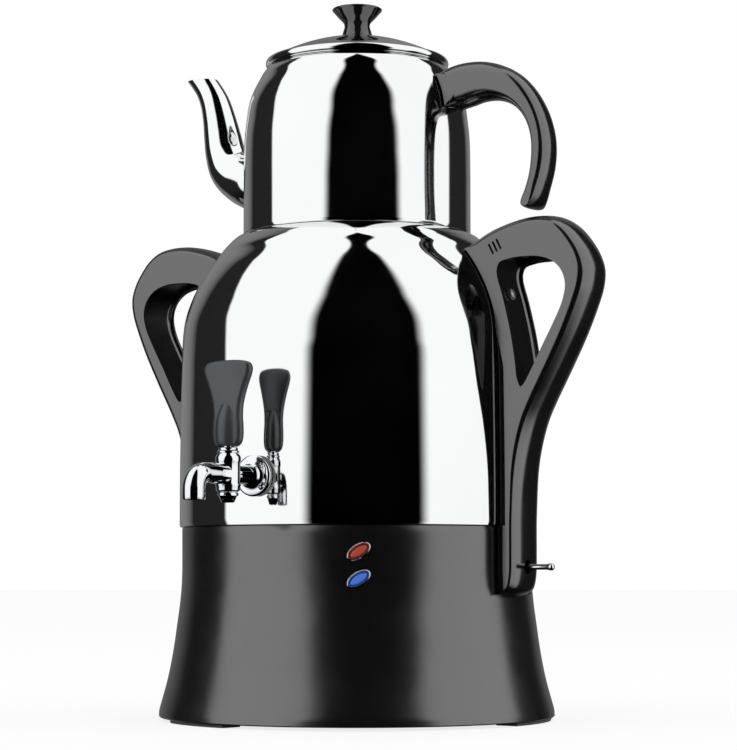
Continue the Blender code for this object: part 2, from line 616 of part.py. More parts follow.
def build_heating(steel, plastic, board):
    """The tubular element in the water and the parts under the kettle's bottom."""
    z = BOTTOM_TOP + ELEMENT_LIFT
    steps = 18
    bend = ELEMENT_TUBE_RADIUS * 2.2
    sweep = 2.0 * math.pi - ELEMENT_OPEN_ANGLE
    drop = bend / ELEMENT_RING_RADIUS
    path = []
    start = math.pi / 2.0 + ELEMENT_OPEN_ANGLE / 2.0
    low = BOTTOM_Z - ELEMENT_TAIL
    first = element_foot(1.0)
    path.append(Vector((first.x, first.y, low)))
    path.append(Vector((first.x, first.y, z - bend)))
    for i in range(steps + 1):
        angle = start + drop + (sweep - 2.0 * drop) * i / steps
        path.append(Vector((math.cos(angle) * ELEMENT_RING_RADIUS,
                            math.sin(angle) * ELEMENT_RING_RADIUS, z)))
    second = element_foot(-1.0)
    path.append(Vector((second.x, second.y, z - bend)))
    path.append(Vector((second.x, second.y, low)))
    rings = []
    up = Vector((0.0, 0.0, 1.0))
    sides = 8
    for i, point in enumerate(path):
        last = len(path) - 1
        ahead = (path[min(i + 1, last)] - path[max(i - 1, 0)]).normalized()
        out = Vector((point.x, point.y, 0.0)).normalized()
        out = (out - ahead * out.dot(ahead)).normalized()
        other = ahead.cross(out)
        rings.append([point + (out * math.cos(a) + other * math.sin(a)) * ELEMENT_TUBE_RADIUS
                      for a in (2.0 * math.pi * k / sides for k in range(sides))])
    place_mesh("heating_element", skin_rings(rings), steel)
    top = BOTTOM_Z - SEAT_GAP
    lathe("keep_warm_heater", rod_profile(WARMER_RADIUS, top - WARMER_THICKNESS, top,
                                          WARMER_THICKNESS / 5.0), steel, MEDIUM_SIDES,
          closed=False)
    for name, side in (("boil_thermostat", -1.0), ("boil_dry_cutout", 1.0)):
        can = THERMOSTAT_RADIUS
        neck = can * 0.6
        low = top - THERMOSTAT_HEIGHT
        lathe(name, [(0.0, low), (neck, low), (neck, low + can * 0.4), (can, low + can * 0.4),
                     (can, top), (0.0, top)], plastic, SMALL_SIDES, closed=False,
              turn=Matrix.Translation((side * THERMOSTAT_PLACE, 0.0, 0.0)))
    long, wide, tall = TERMINAL_SIZE
    floor = PLATE_TOP + SEAT_GAP
    block = place_mesh("terminal_block",
                       box_mesh((-long / 2.0, TERMINAL_PLACE - wide / 2.0, floor),
                                (long / 2.0, TERMINAL_PLACE + wide / 2.0, floor + tall)), board)
    pitch = long / TERMINAL_COUNT
    for i in range(TERMINAL_COUNT):
        x = (i - (TERMINAL_COUNT - 1) / 2.0) * pitch
        well = lathe_mesh(rod_profile(TERMINAL_WELL_RADIUS, floor + tall / 2.0,
                                      floor + tall + CUT_OVERRUN), SMALL_SIDES, False)
        bmesh.ops.transform(well, matrix=Matrix.Translation((x, TERMINAL_PLACE, 0.0)),
                            verts=well.verts)
        boolean(block, cutter(f"terminal_cut_{i + 1}", well))


def rounded_box(half_x, half_y, low, high, corner, steps=3):
    """A prism with round corners, along Z."""
    ring = []
    for quarter in range(4):
        centre_x = (half_x - corner) * (1.0 if quarter in (0, 3) else -1.0)
        centre_y = (half_y - corner) * (1.0 if quarter in (0, 1) else -1.0)
        for i in range(steps + 1):
            angle = math.pi / 2.0 * (quarter + i / steps)
            ring.append((centre_x + corner * math.cos(angle), centre_y + corner * math.sin(angle)))
    return skin_rings([[(x, y, z) for x, y in ring] for z in (low, high)])


def build_inlet(shell, plastic, steel):
    """The power inlet: a socket in the back wall with three flat pins."""
    frame = radial_frame(math.pi, INLET_FACE, INLET_Z)
    body = rounded_box(INLET_WIDTH / 2.0, INLET_TALL / 2.0, -INLET_DEPTH, 0.0, INLET_CORNER)
    bmesh.ops.transform(body, matrix=frame, verts=body.verts)
    inlet = place_mesh("power_inlet", body, plastic)
    socket = rounded_box(INLET_WIDTH / 2.0 - INLET_WALL, INLET_TALL / 2.0 - INLET_WALL,
                         -INLET_SOCKET_DEPTH, CUT_OVERRUN, INLET_CORNER - INLET_WALL)
    bmesh.ops.transform(socket, matrix=frame, verts=socket.verts)
    boolean(inlet, cutter("socket_cut", socket))
    for i in range(3):
        x = (i - 1.0) * PIN_PITCH
        y = PIN_TALL / 2.0 if i == 1 else -PIN_TALL / 2.0
        pin = box_mesh((x - PIN_WIDTH / 2.0, y - PIN_TALL / 2.0,
                        -INLET_SOCKET_DEPTH - INLET_WALL),
                       (x + PIN_WIDTH / 2.0, y + PIN_TALL / 2.0, PIN_LENGTH - INLET_SOCKET_DEPTH))
        bmesh.ops.transform(pin, matrix=frame, verts=pin.verts)
        boolean(inlet, cutter(f"inlet_pin_{i + 1}", pin), "UNION")
    hole = rounded_box(INLET_WIDTH / 2.0 + SEAT_GAP, INLET_TALL / 2.0 + SEAT_GAP,
                       -INLET_DEPTH, INLET_DEPTH, INLET_CORNER)
    bmesh.ops.transform(hole, matrix=frame, verts=hole.verts)
    boolean(shell, cutter("inlet_cut", hole))


def oval_ring(length, width, height, sides=MEDIUM_SIDES):
    """Points of an oval at a height."""
    return [(math.cos(a) * length / 2.0, math.sin(a) * width / 2.0, height)
            for a in (2.0 * math.pi * k / sides for k in range(sides))]


def build_lamps(shell, chrome, red, blue, board):
    """Two slanted oval lamps, each a lens in a bright bezel, with one board behind."""
    border = BEZEL_BORDER
    sleeve_length = LAMP_LENGTH - border
    sleeve_width = LAMP_WIDTH - border
    hole_length = LAMP_LENGTH - 2.0 * border
    hole_width = LAMP_WIDTH - 2.0 * border
    sides = SMALL_SIDES + 4
    for colour, material in (("red", red), ("blue", blue)):
        height = LAMP_HEIGHTS[colour]
        frame = radial_frame(LAMP_AZIMUTH, BASE_TOP_RADIUS, height, LAMP_TILT)
        cut = skin_rings([oval_ring(sleeve_length + 2.0 * SEAT_GAP,
                                    sleeve_width + 2.0 * SEAT_GAP, z, sides)
                          for z in (-BEZEL_DEPTH - CUT_OVERRUN, BEZEL_DEPTH)])
        bmesh.ops.transform(cut, matrix=frame, verts=cut.verts)
        boolean(shell, cutter(f"{colour}_lamp_cut", cut))
        seat = SEAT_GAP
        bezel = skin_rings([
            oval_ring(sleeve_length, sleeve_width, -BEZEL_DEPTH, sides),
            oval_ring(sleeve_length, sleeve_width, seat, sides),
            oval_ring(LAMP_LENGTH, LAMP_WIDTH, seat, sides),
            oval_ring(LAMP_LENGTH, LAMP_WIDTH, seat + BEZEL_PROUD / 2.0, sides),
            oval_ring(LAMP_LENGTH - border / 2.0, LAMP_WIDTH - border / 2.0, seat + BEZEL_PROUD, sides),
            oval_ring(hole_length, hole_width, seat + BEZEL_PROUD / 2.0, sides),
            oval_ring(hole_length, hole_width, -BEZEL_DEPTH, sides)], wrap=True)
        bmesh.ops.transform(bezel, matrix=frame, verts=bezel.verts)
        place_mesh(f"{colour}_lamp_bezel", bezel, chrome)
        lens_length = hole_length - 2.0 * SEAT_GAP
        lens_width = hole_width - 2.0 * SEAT_GAP
        dome = ((1.0, -LENS_DEPTH), (1.0, 0.0), (0.86, LENS_PROUD * 0.62), (0.5, LENS_PROUD * 0.92),
                (0.12, LENS_PROUD))
        lens = skin_rings([oval_ring(lens_length * s, lens_width * s, z, sides) for s, z in dome])
        bmesh.ops.transform(lens, matrix=frame, verts=lens.verts)
        place_mesh(f"{colour}_lamp_lens", lens, material)
    middle = sum(LAMP_HEIGHTS.values()) / len(LAMP_HEIGHTS)
    back = -LENS_DEPTH - SEAT_GAP - LAMP_CHIP_HEIGHT
    frame = radial_frame(LAMP_AZIMUTH, BASE_TOP_RADIUS, middle)
    plate = box_mesh((-LAMP_BOARD_WIDTH / 2.0, -LAMP_BOARD_TALL / 2.0, back - LAMP_BOARD_THICKNESS),
                     (LAMP_BOARD_WIDTH / 2.0, LAMP_BOARD_TALL / 2.0, back))
    bmesh.ops.transform(plate, matrix=frame, verts=plate.verts)
    panel = place_mesh("lamp_board", plate, board)
    for colour, height in LAMP_HEIGHTS.items():
        chip = lathe_mesh(rod_profile(LAMP_CHIP_RADIUS, back - LAMP_BOARD_THICKNESS / 2.0,
                                      back + LAMP_CHIP_HEIGHT), SMALL_SIDES, False)
        move = radial_frame(LAMP_AZIMUTH, BASE_TOP_RADIUS, height)
        bmesh.ops.transform(chip, matrix=move, verts=chip.verts)
        boolean(panel, cutter(f"{colour}_chip_guide", chip), "UNION")


def slab_handle(rows, loops):
    """Skin outlines that lie in parallel planes, with triangulated flanks.

    rows holds the offsets across the handle. Each loop gives one closed ring of points per row.
    """
    bm = bmesh.new()
    made = [[[bm.verts.new(point) for point in ring] for ring in loop] for loop in loops]
    for loop in made:
        count = len(loop[0])
        for first, second in zip(loop, loop[1:]):
            for i in range(count):
                j = (i + 1) % count
                bm.faces.new((first[i], first[j], second[j], second[i]))
    for end in (0, len(rows) - 1):
        flat = [[Vector((v.co.x, v.co.z, 0.0)) for v in loop[end]] for loop in made]
        verts = [v for loop in made for v in loop[end]]
        for triangle in tessellate_polygon(flat):
            bm.faces.new([verts[i] for i in triangle])
    return bm


def handle_rows(width, edge):
    """Offsets across a handle: both flanks, both edges and three rows between."""
    half = width / 2.0
    inner = half - edge
    return [-half, -inner, -inner / 2.0, 0.0, inner / 2.0, inner, half]


def handle_loops(rows, free, seated, seat, edge, crown, relief, slot=()):
    """Rings of a handle for each row: free outline, wall-following inner face and slot."""
    inner = rows[-2]
    outline = list(free) + list(seated)
    normals = outward_normals(outline)
    rings = []
    slot_rings = []
    slot_normals = outward_normals(slot) if slot else []
    for offset in rows:
        on_flank = abs(offset) > inner
        swell = crown * (1.0 - (offset / inner) ** 2)
        ring = []
        for i, (reach, height) in enumerate(outline):
            if i < len(free):
                inset = edge(i) if on_flank else -swell
                spot = Vector((reach, height)) - normals[i] * inset
                ring.append((spot.x, offset, spot.y))
            else:
                wall = seat(height)
                touch = math.sqrt(wall * wall - offset * offset)
                ring.append((touch + (relief(height) if on_flank else 0.0), offset, height))
        rings.append(ring)
        if slot:
            inset = edge(0) if on_flank else 0.0
            slot_rings.append([(r + n.x * inset, offset, z + n.y * inset)
                               for (r, z), n in zip(slot, slot_normals)])
    return [rings, slot_rings] if slot else [rings]


def handle_height(share):
    """Height at a share of a side handle's whole height."""
    return HANDLE_FOOT_Z + HANDLE_HEIGHT * share


def off_wall(shares):
    """Handle points measured out from the wall at their own height."""
    return [(wall_seat(handle_height(z)) + HANDLE_REACH * r, handle_height(z)) for r, z in shares]


def side_handle(name, material, side):
    """One big loop handle; side is +1 for the right handle and -1 for the left one."""
    def place(share):
        return (KETTLE_RADIUS + HANDLE_REACH * share[0], handle_height(share[1]))

    free = (off_wall(HANDLE_LIP_SHARES) + [place(s) for s in HANDLE_OUTLINE_SHARES])[::-1]
    heights = [handle_height(s) for s in SEAT_FOOT_SHARES]
    heights += [BASE_HEIGHT - SEAT_STEP_BELOW, BASE_HEIGHT - SEAT_STEP_ABOVE]
    heights += [handle_height(s) for s in SEAT_HEIGHT_SHARES + (HANDLE_TOP_SHARE,)]
    seated = [(wall_seat(z), z) for z in heights][::-1]
    slot = off_wall(SLOT_WALL_SHARES) + [place(s) for s in SLOT_SHARES]
    relief_top = HANDLE_FOOT_Z + HANDLE_HEIGHT * HANDLE_RELIEF_TOP_SHARE
    fade = HANDLE_HEIGHT * 0.1

    def relief(height):
        share = min(max((relief_top - height) / fade, 0.0), 1.0)
        return HANDLE_EDGE / 2.0 + (HANDLE_RELIEF - HANDLE_EDGE / 2.0) * share

    rows = handle_rows(HANDLE_WIDTH, HANDLE_EDGE)
    loops = handle_loops(rows, free, seated, wall_seat, lambda i: HANDLE_EDGE * 0.8,
                         HANDLE_CROWN, relief, slot)
    bm = slab_handle(rows, loops)
    if side < 0.0:
        bmesh.ops.transform(bm, matrix=Matrix.Rotation(math.pi, 4, "Z"), verts=bm.verts)
    return place_mesh(name, bm, material)


def handle_screw(name, material, matrix, length, head_radius, head_height, radius):
    """A round-headed screw along its local Z, its shank pointing to -Z."""
    return lathe(name, [(0.0, -length), (radius, -length), (radius, 0.0), (head_radius, 0.0),
                        (head_radius, head_height * 0.45), (head_radius * 0.72, head_height * 0.85),
                        (0.0, head_height)], material, SMALL_SIDES, closed=False, turn=matrix)


def build_side_handles(shell, plastic, steel, chrome):
    """Both loop handles with their screws, and the switch in the right one's foot."""
    handles = {"right": (math.pi / 2.0, 1.0), "left": (-math.pi / 2.0, -1.0)}
    upper_z = handle_height(UPPER_SCREW_SHARE)
    slot_wall = off_wall(SLOT_WALL_SHARES)
    upper_radius = radius_at(slot_wall, upper_z)
    head_low = upper_z - HANDLE_HEAD_RADIUS
    head_high = upper_z + HANDLE_HEAD_RADIUS
    lean = math.atan2(radius_at(slot_wall, head_low) - radius_at(slot_wall, head_high),
                      head_high - head_low)
    base_inside = BASE_TOP_RADIUS - BASE_WALL
    made = {}
    for word, (azimuth, side) in handles.items():
        handle = side_handle(f"{word}_handle", plastic, side)
        made[word] = handle
        frame = radial_frame(azimuth, upper_radius, upper_z)
        tilt = frame @ Matrix.Rotation(-lean, 4, "X")
        bore = HANDLE_SCREW_RADIUS + SEAT_GAP
        cut = lathe_mesh(rod_profile(bore, -HANDLE_RELIEF * 2.0, CUT_OVERRUN), SMALL_SIDES, False)
        bmesh.ops.transform(cut, matrix=tilt, verts=cut.verts)
        boolean(handle, cutter(f"{word}_upper_cut", cut))
        handle_screw(f"{word}_handle_upper_screw", steel, tilt @ Matrix.Translation((0, 0, SEAT_GAP)),
                     UPPER_SCREW_LENGTH, HANDLE_HEAD_RADIUS, HANDLE_HEAD_HEIGHT,
                     HANDLE_SCREW_RADIUS)
        frame = radial_frame(azimuth, base_inside - SEAT_GAP, LOWER_SCREW_Z)
        inward = frame @ Matrix.Rotation(math.pi, 4, "X")
        cut = lathe_mesh(rod_profile(bore, -LOWER_SCREW_LENGTH - SEAT_GAP, BASE_WALL), SMALL_SIDES,
                         False)
        bmesh.ops.transform(cut, matrix=inward, verts=cut.verts)
        guide = cutter(f"{word}_lower_cut", cut)
        boolean(handle, guide)
        boolean(shell, guide)
        handle_screw(f"{word}_handle_lower_screw", steel, inward, LOWER_SCREW_LENGTH,
                     HANDLE_HEAD_RADIUS, HANDLE_HEAD_HEIGHT, HANDLE_SCREW_RADIUS)
    face = KETTLE_RADIUS + HANDLE_REACH * HANDLE_OUTLINE_SHARES[-4][0]
    front = face - SWITCH_COVER
    half_y = SWITCH_WIDTH / 2.0
    half_z = SWITCH_TALL / 2.0
    gap = SEAT_GAP
    pocket = box_mesh((front - SWITCH_DEPTH - CUT_OVERRUN, -half_y - gap, SWITCH_Z - half_z - gap),
                      (front + gap, half_y + gap, SWITCH_Z + half_z + gap))
    guide = cutter("switch_pocket_cut", pocket)
    boolean(made["right"], guide)
    boolean(shell, guide)
    frame = radial_frame(math.pi / 2.0, front, SWITCH_Z)
    hole = lathe_mesh(rod_profile(SWITCH_HOLE_RADIUS, -CUT_OVERRUN, SWITCH_COVER * 2.0),
                      SMALL_SIDES, False)
    bmesh.ops.transform(hole, matrix=frame, verts=hole.verts)
    boolean(made["right"], cutter("switch_hole_cut", hole))
    body = place_mesh("switch_body",
                      box_mesh((front - SWITCH_DEPTH, -half_y, SWITCH_Z - half_z),
                               (front, half_y, SWITCH_Z + half_z)), plastic)
    pivot_depth = SWITCH_BALL_RADIUS - SWITCH_COVER * 0.15
    well_depth = pivot_depth + SWITCH_BALL_RADIUS + gap
    well = lathe_mesh(rod_profile(SWITCH_WELL_RADIUS, -well_depth, CUT_OVERRUN), SMALL_SIDES, False)
    bmesh.ops.transform(well, matrix=frame, verts=well.verts)
    boolean(body, cutter("switch_well_cut", well))
    pivot = bpy.data.objects.new("switch_pivot", None)
    bpy.context.scene.collection.objects.link(pivot)
    pivot.location = (front - pivot_depth, 0.0, SWITCH_Z)
    ball = SWITCH_BALL_RADIUS
    pin = SWITCH_PIN_RADIUS
    tip = SWITCH_TIP_RADIUS
    ball_angles = [math.radians(a) for a in (150.0, 120.0, 90.0, 60.0)]
    profile = [(0.0, -ball)] + [(ball * math.sin(a), ball * math.cos(a)) for a in ball_angles]
    neck = math.sqrt(ball * ball - pin * pin)
    end = SWITCH_PIN_LENGTH
    profile += [(pin, neck), (pin, end - 2.0 * tip), (tip, end - 1.4 * tip), (tip, end - 0.7 * tip),
                (tip * 0.6, end - 0.15 * tip), (0.0, end)]
    lathe("switch_lever", profile, chrome, SMALL_SIDES, closed=False,
          turn=Matrix.Rotation(math.pi / 2.0, 4, "Y"), parent=pivot)


def build_tap(chrome, plastic, seal):
    """The tap: body with flange, pipe and spout, its seals and nuts, and the turning plug."""
    wall = KETTLE_RADIUS
    frame = radial_frame(0.0, 0.0, TAP_Z)
    washer_low = wall + SEAT_GAP
    flange_low = washer_low + TAP_WASHER_THICKNESS + SEAT_GAP
    flange_high = flange_low + TAP_FLANGE_THICKNESS
    inner_end = wall - TAP_THREAD_LENGTH
    valve = wall + TAP_VALVE_REACH
    pipe = TAP_PIPE_RADIUS
    bore = TAP_BORE_RADIUS
    flange = TAP_FLANGE_RADIUS
    soft = TAP_FLANGE_THICKNESS * 0.4
    inside_seat = PLUG_BOTTOM_RADIUS * 0.5
    pipe_end = valve - inside_seat
    body = lathe("tap_body",
                 [(0.0, inner_end), (pipe, inner_end), (pipe, flange_low), (flange, flange_low),
                  (flange, flange_high - soft), (flange - soft, flange_high), (pipe + soft, flange_high),
                  (pipe, flange_high + soft), (pipe, pipe_end), (0.0, pipe_end)],
                 chrome, MEDIUM_SIDES, closed=False, turn=frame)
    centre = Vector((0.0, -valve, TAP_Z))
    low = -TAP_VALVE_BELOW
    high = TAP_VALVE_ABOVE
    radius = TAP_VALVE_RADIUS
    chamfer = radius * 0.12
    barrel = lathe_mesh([(0.0, low), (radius * 0.90, low), (radius, low + chamfer),
                         (radius, high - chamfer), (radius - chamfer, high), (0.0, high)],
                        MEDIUM_SIDES, False)
    bmesh.ops.transform(barrel, matrix=Matrix.Translation(centre), verts=barrel.verts)
    boolean(body, cutter("valve_guide", barrel), "UNION")
    end_y = centre.y - TAP_SPOUT_REACH
    bend = TAP_SPOUT_BEND
    route = [Vector((0.0, centre.y - inside_seat, TAP_Z)), Vector((0.0, centre.y - radius, TAP_Z))]
    corner_steps = 6
    for i in range(corner_steps + 1):
        angle = math.pi / 2.0 * i / corner_steps
        route.append(Vector((0.0, end_y + bend - bend * math.sin(angle),
                             TAP_Z - bend + bend * math.cos(angle))))
    route.append(Vector((0.0, end_y, TAP_Z - TAP_SPOUT_DROP)))
    across = Vector((1.0, 0.0, 0.0))
    pipe_rings = skin_rings(sweep_rings(route, [TAP_SPOUT_RADIUS] * len(route), SMALL_SIDES + 4,
                                        across))
    boolean(body, cutter("spout_guide", pipe_rings), "UNION")
    bore_route = route[:-1] + [route[-1] - Vector((0.0, 0.0, CUT_OVERRUN))]
    widening = [min(i / len(route), 1.0) for i in range(len(bore_route))]
    bore_radii = [bore + (TAP_SPOUT_BORE - bore) * t for t in widening]
    bore_rings = skin_rings(sweep_rings(bore_route, bore_radii, SMALL_SIDES, across))
    boolean(body, cutter("spout_bore_cut", bore_rings))
    pipe_bore = lathe_mesh(rod_profile(bore, inner_end - CUT_OVERRUN, pipe_end), SMALL_SIDES, False)
    bmesh.ops.transform(pipe_bore, matrix=frame, verts=pipe_bore.verts)
    boolean(body, cutter("pipe_bore_cut", pipe_bore))
    gap = SEAT_GAP
    taper = (PLUG_TOP_RADIUS - PLUG_BOTTOM_RADIUS) / (high - low) * CUT_OVERRUN
    seat_cut = lathe_mesh([(0.0, low - CUT_OVERRUN),
                           (PLUG_BOTTOM_RADIUS + gap - taper, low - CUT_OVERRUN),
                           (PLUG_TOP_RADIUS + gap + taper, high + CUT_OVERRUN),
                           (0.0, high + CUT_OVERRUN)], MEDIUM_SIDES, False)
    bmesh.ops.transform(seat_cut, matrix=Matrix.Translation(centre), verts=seat_cut.verts)
    boolean(body, cutter("plug_seat_cut", seat_cut))
    lathe("tap_washer", ring_profile(pipe + gap, flange - gap, washer_low,
                                     washer_low + TAP_WASHER_THICKNESS), seal, MEDIUM_SIDES,
          turn=frame)
    corner = TAP_NUT_RADIUS
    curve_room = wall - math.sqrt(wall * wall - corner * corner)
    facet_room = wall * (1.0 - math.cos(math.pi / LARGE_SIDES))
    nut_high = wall - KETTLE_WALL - gap - curve_room - facet_room
    nut = hex_nut(pipe + gap, corner, nut_high - TAP_NUT_THICKNESS, nut_high)
    bmesh.ops.transform(nut, matrix=frame, verts=nut.verts)
    place_mesh("tap_lock_nut", nut, chrome)
    pivot = bpy.data.objects.new("tap_pivot", None)
    bpy.context.scene.collection.objects.link(pivot)
    pivot.location = centre
    grip_low = GRIP_BOTTOM
    stem_top = grip_low + GRIP_HEIGHT * 0.16
    plug_low = low - CAP_HEIGHT * 0.5
    collar = high + gap
    slope_low = PLUG_BOTTOM_RADIUS
    screw_tail = PLUG_BOTTOM_RADIUS * 0.5
    plug = lathe("tap_plug",
                 [(0.0, plug_low), (screw_tail, plug_low), (screw_tail, low), (slope_low, low),
                  (PLUG_TOP_RADIUS, high), (PLUG_TOP_RADIUS, collar), (STEM_COLLAR_RADIUS, collar),
                  (STEM_COLLAR_RADIUS, (collar + grip_low) / 2.0),
                  (STEM_COLLAR_RADIUS * 0.86, grip_low - gap),
                  (STEM_RADIUS, grip_low - gap), (STEM_RADIUS, stem_top), (0.0, stem_top)],
                 chrome, MEDIUM_SIDES, closed=False, parent=pivot)
    port = lathe_mesh(rod_profile(bore * 0.75, -radius, radius), SMALL_SIDES, False)
    bmesh.ops.transform(port, matrix=Matrix.Rotation(math.pi / 2.0, 4, "Y"), verts=port.verts)
    port_cut = cutter("plug_port_cut", port)
    port_cut.parent = pivot
    boolean(plug, port_cut)
    cap_high = low - gap
    cap_low = cap_high - CAP_HEIGHT
    cap_well = plug_low - gap
    lathe("tap_bottom_nut",
          [(0.0, cap_low), (CAP_BOTTOM_RADIUS, cap_low), (CAP_TOP_RADIUS, cap_high - CAP_HEIGHT / 3.0),
           (CAP_TOP_RADIUS, cap_high), (screw_tail + gap, cap_high), (screw_tail + gap, cap_well),
           (0.0, cap_well)], chrome, MEDIUM_SIDES, closed=False, parent=pivot)
    build_grip(plastic, pivot, stem_top)


def build_grip(plastic, pivot, stem_top):
    """The paddle grip: a flared plate with a pointed hub round the stem."""
    half = GRIP_WIDTH / 2.0
    right = [(half * x, GRIP_BOTTOM + GRIP_HEIGHT * z) for x, z in GRIP_OUTLINE_SHARES]
    outline = right + [(-x, z) for x, z in reversed(right)]
    normals = outward_normals(outline)
    rings = []
    thick = GRIP_THICKNESS / 2.0
    edge = GRIP_EDGE
    for depth, inset in ((-thick, edge), (-thick + edge, 0.0), (thick - edge, 0.0), (thick, edge)):
        rings.append([(x - n.x * inset, depth, z - n.y * inset)
                      for (x, z), n in zip(outline, normals)])
    bm = bmesh.new()
    rows = [[bm.verts.new(point) for point in ring] for ring in rings]
    for first, second in zip(rows, rows[1:]):
        for i in range(len(first)):
            j = (i + 1) % len(first)
            bm.faces.new((first[i], first[j], second[j], second[i]))
    for row in (rows[0], rows[-1]):
        flat = [[Vector((v.co.x, v.co.z, 0.0)) for v in row]]
        for triangle in tessellate_polygon(flat):
            bm.faces.new([row[i] for i in triangle])
    grip = place_mesh("tap_grip", bm, plastic, pivot)
    low = GRIP_BOTTOM + HUB_BOTTOM_LIFT
    hub_profile = [(0.0, low)]
    hub_profile += [(HUB_RADIUS * r, low + GRIP_HEIGHT * z) for r, z in HUB_SHARES]
    hub_profile.append((0.0, low + GRIP_HEIGHT * (HUB_SHARES[-1][1] + 0.02)))
    hub = lathe_mesh(hub_profile, MEDIUM_SIDES, False)
    hub_guide = cutter("hub_guide", hub)
    hub_guide.parent = pivot
    boolean(grip, hub_guide, "UNION")
    well = lathe_mesh(rod_profile(STEM_RADIUS + SEAT_GAP, GRIP_BOTTOM - CUT_OVERRUN,
                                  stem_top + SEAT_GAP), SMALL_SIDES, False)
    well_cut = cutter("stem_well_cut", well)
    well_cut.parent = pivot
    boolean(grip, well_cut)


def build_pot(steel, plastic, screw_steel):
    """The teapot: body with strainer holes, gooseneck spout, hook handle and its screw."""
    outer = pot_profile()
    foot_low = POT_Z - POT_FOOT_DEPTH
    corner = POT_FOOT_CORNER
    foot = [(0.0, foot_low), (POT_FOOT_RADIUS - corner, foot_low),
            (POT_FOOT_RADIUS, foot_low + corner), (POT_FOOT_RADIUS, POT_Z)]
    wall = POT_WALL
    inner = inset_profile(outer[1:], wall)
    inner[-1] = (outer[-1][0] - wall, outer[-1][1])
    floor = [(POT_RADIUS - wall, POT_Z + wall), (POT_FOOT_RADIUS - wall, POT_Z + wall),
             (POT_FOOT_RADIUS - wall, foot_low + corner + wall / 2.0),
             (POT_FOOT_RADIUS - corner - wall / 2.0, foot_low + wall), (0.0, foot_low + wall)]
    pot = lathe("pot_body", foot + outer + inner[::-1] + floor, steel, closed=False)
    spout_z = POT_Z + POT_HEIGHT * STRAINER_SHARE
    places = [(0.0, 0.0)] + [(STRAINER_PITCH * math.cos(a), STRAINER_PITCH * math.sin(a))
                             for a in (2.0 * math.pi * k / STRAINER_RING
                                       for k in range(STRAINER_RING))]
    frame = radial_frame(-math.pi / 2.0, POT_RADIUS, spout_z)
    holes = bmesh.new()
    for x, y in places:
        one = lathe_mesh(rod_profile(STRAINER_HOLE_RADIUS, -POT_FOOT_DEPTH, POT_FOOT_DEPTH),
                         STRAINER_HOLE_SIDES, False)
        bmesh.ops.transform(one, matrix=frame @ Matrix.Translation((x, y, 0.0)), verts=one.verts)
        part = bpy.data.meshes.new("strainer_hole")
        one.to_mesh(part)
        one.free()
        holes.from_mesh(part)
    boolean(pot, cutter("strainer_cut", holes))
    points = [Vector((-(POT_RADIUS + SPOUT_LENGTH * out), 0.0, POT_Z + POT_HEIGHT * up))
              for out, up, _ in SPOUT_PATH_SHARES]
    radii = [POT_HEIGHT * r for _, _, r in SPOUT_PATH_SHARES]
    tube = sweep_tube(points, radii, SPOUT_WALL, SMALL_SIDES + 4, Vector((0.0, 1.0, 0.0)))
    spout = place_mesh("pot_spout", tube, steel)
    mouth_z = POT_Z + POT_HEIGHT * SPOUT_MOUTH_SHARE
    above = box_mesh((-POT_RADIUS * 3.0, -POT_RADIUS, mouth_z),
                     (-POT_RADIUS, POT_RADIUS, mouth_z + POT_HEIGHT))
    boolean(spout, cutter("spout_mouth_cut", above))
    trim = lathe_mesh([(0.0, POT_Z)] + [(r + SEAT_GAP, z) for r, z in outer] + [(0.0, POT_TOP)],
                      LARGE_SIDES, False)
    boolean(spout, cutter("spout_trim_cut", trim))

    def place(share):
        return (POT_RADIUS + HOOK_REACH * share[0], POT_Z + POT_HEIGHT * share[1])

    free = [place(s) for s in HOOK_OUTLINE_SHARES][::-1]
    heights = [POT_Z + POT_HEIGHT * s for s in HOOK_SEAT_SHARES + (HOOK_TOP_SHARE,)]
    seated = [(pot_seat(z), z) for z in heights][::-1]
    count = len(free)
    turn_point = count - HOOK_OUTER_POINTS

    def thickness(i):
        here = Vector(free[i])
        if i < turn_point:
            other = free[turn_point:]
        else:
            other = free[:turn_point]
        return min((here - Vector(p)).length for p in other)

    def edge(i):
        inner_side = i < turn_point
        share = HOOK_INNER_ROUND_SHARE if inner_side else HOOK_OUTER_ROUND_SHARE
        return min(thickness(i) * share, HOOK_WIDTH / 3.0)

    rows = handle_rows(HOOK_WIDTH, HOOK_WIDTH * 0.22)
    loops = handle_loops(rows, free, seated, pot_seat, edge, HOOK_WIDTH * 0.02,
                         lambda z: HOOK_WIDTH * 0.05)
    handle = place_mesh("pot_handle", slab_handle(rows, loops), plastic)
    screw_z = POT_Z + POT_HEIGHT * HOOK_SCREW_SHARE
    frame = radial_frame(math.pi / 2.0, pot_seat(screw_z) - RUN_GAP - wall - SEAT_GAP, screw_z)
    inward = frame @ Matrix.Rotation(-HOOK_SCREW_TILT, 4, "X") @ Matrix.Rotation(math.pi, 4, "X")
    inward = inward @ Matrix.Translation((0.0, 0.0, SEAT_GAP))
    bore = HANDLE_SCREW_RADIUS + SEAT_GAP
    length = LOWER_SCREW_LENGTH
    cut = lathe_mesh(rod_profile(bore, -length - SEAT_GAP, CUT_OVERRUN), SMALL_SIDES, False)
    bmesh.ops.transform(cut, matrix=inward, verts=cut.verts)
    guide = cutter("pot_handle_screw_cut", cut)
    boolean(handle, guide)
    boolean(pot, guide)
    handle_screw("pot_handle_screw", screw_steel, inward, length, HANDLE_HEAD_RADIUS,
                 HANDLE_HEAD_HEIGHT, HANDLE_SCREW_RADIUS)


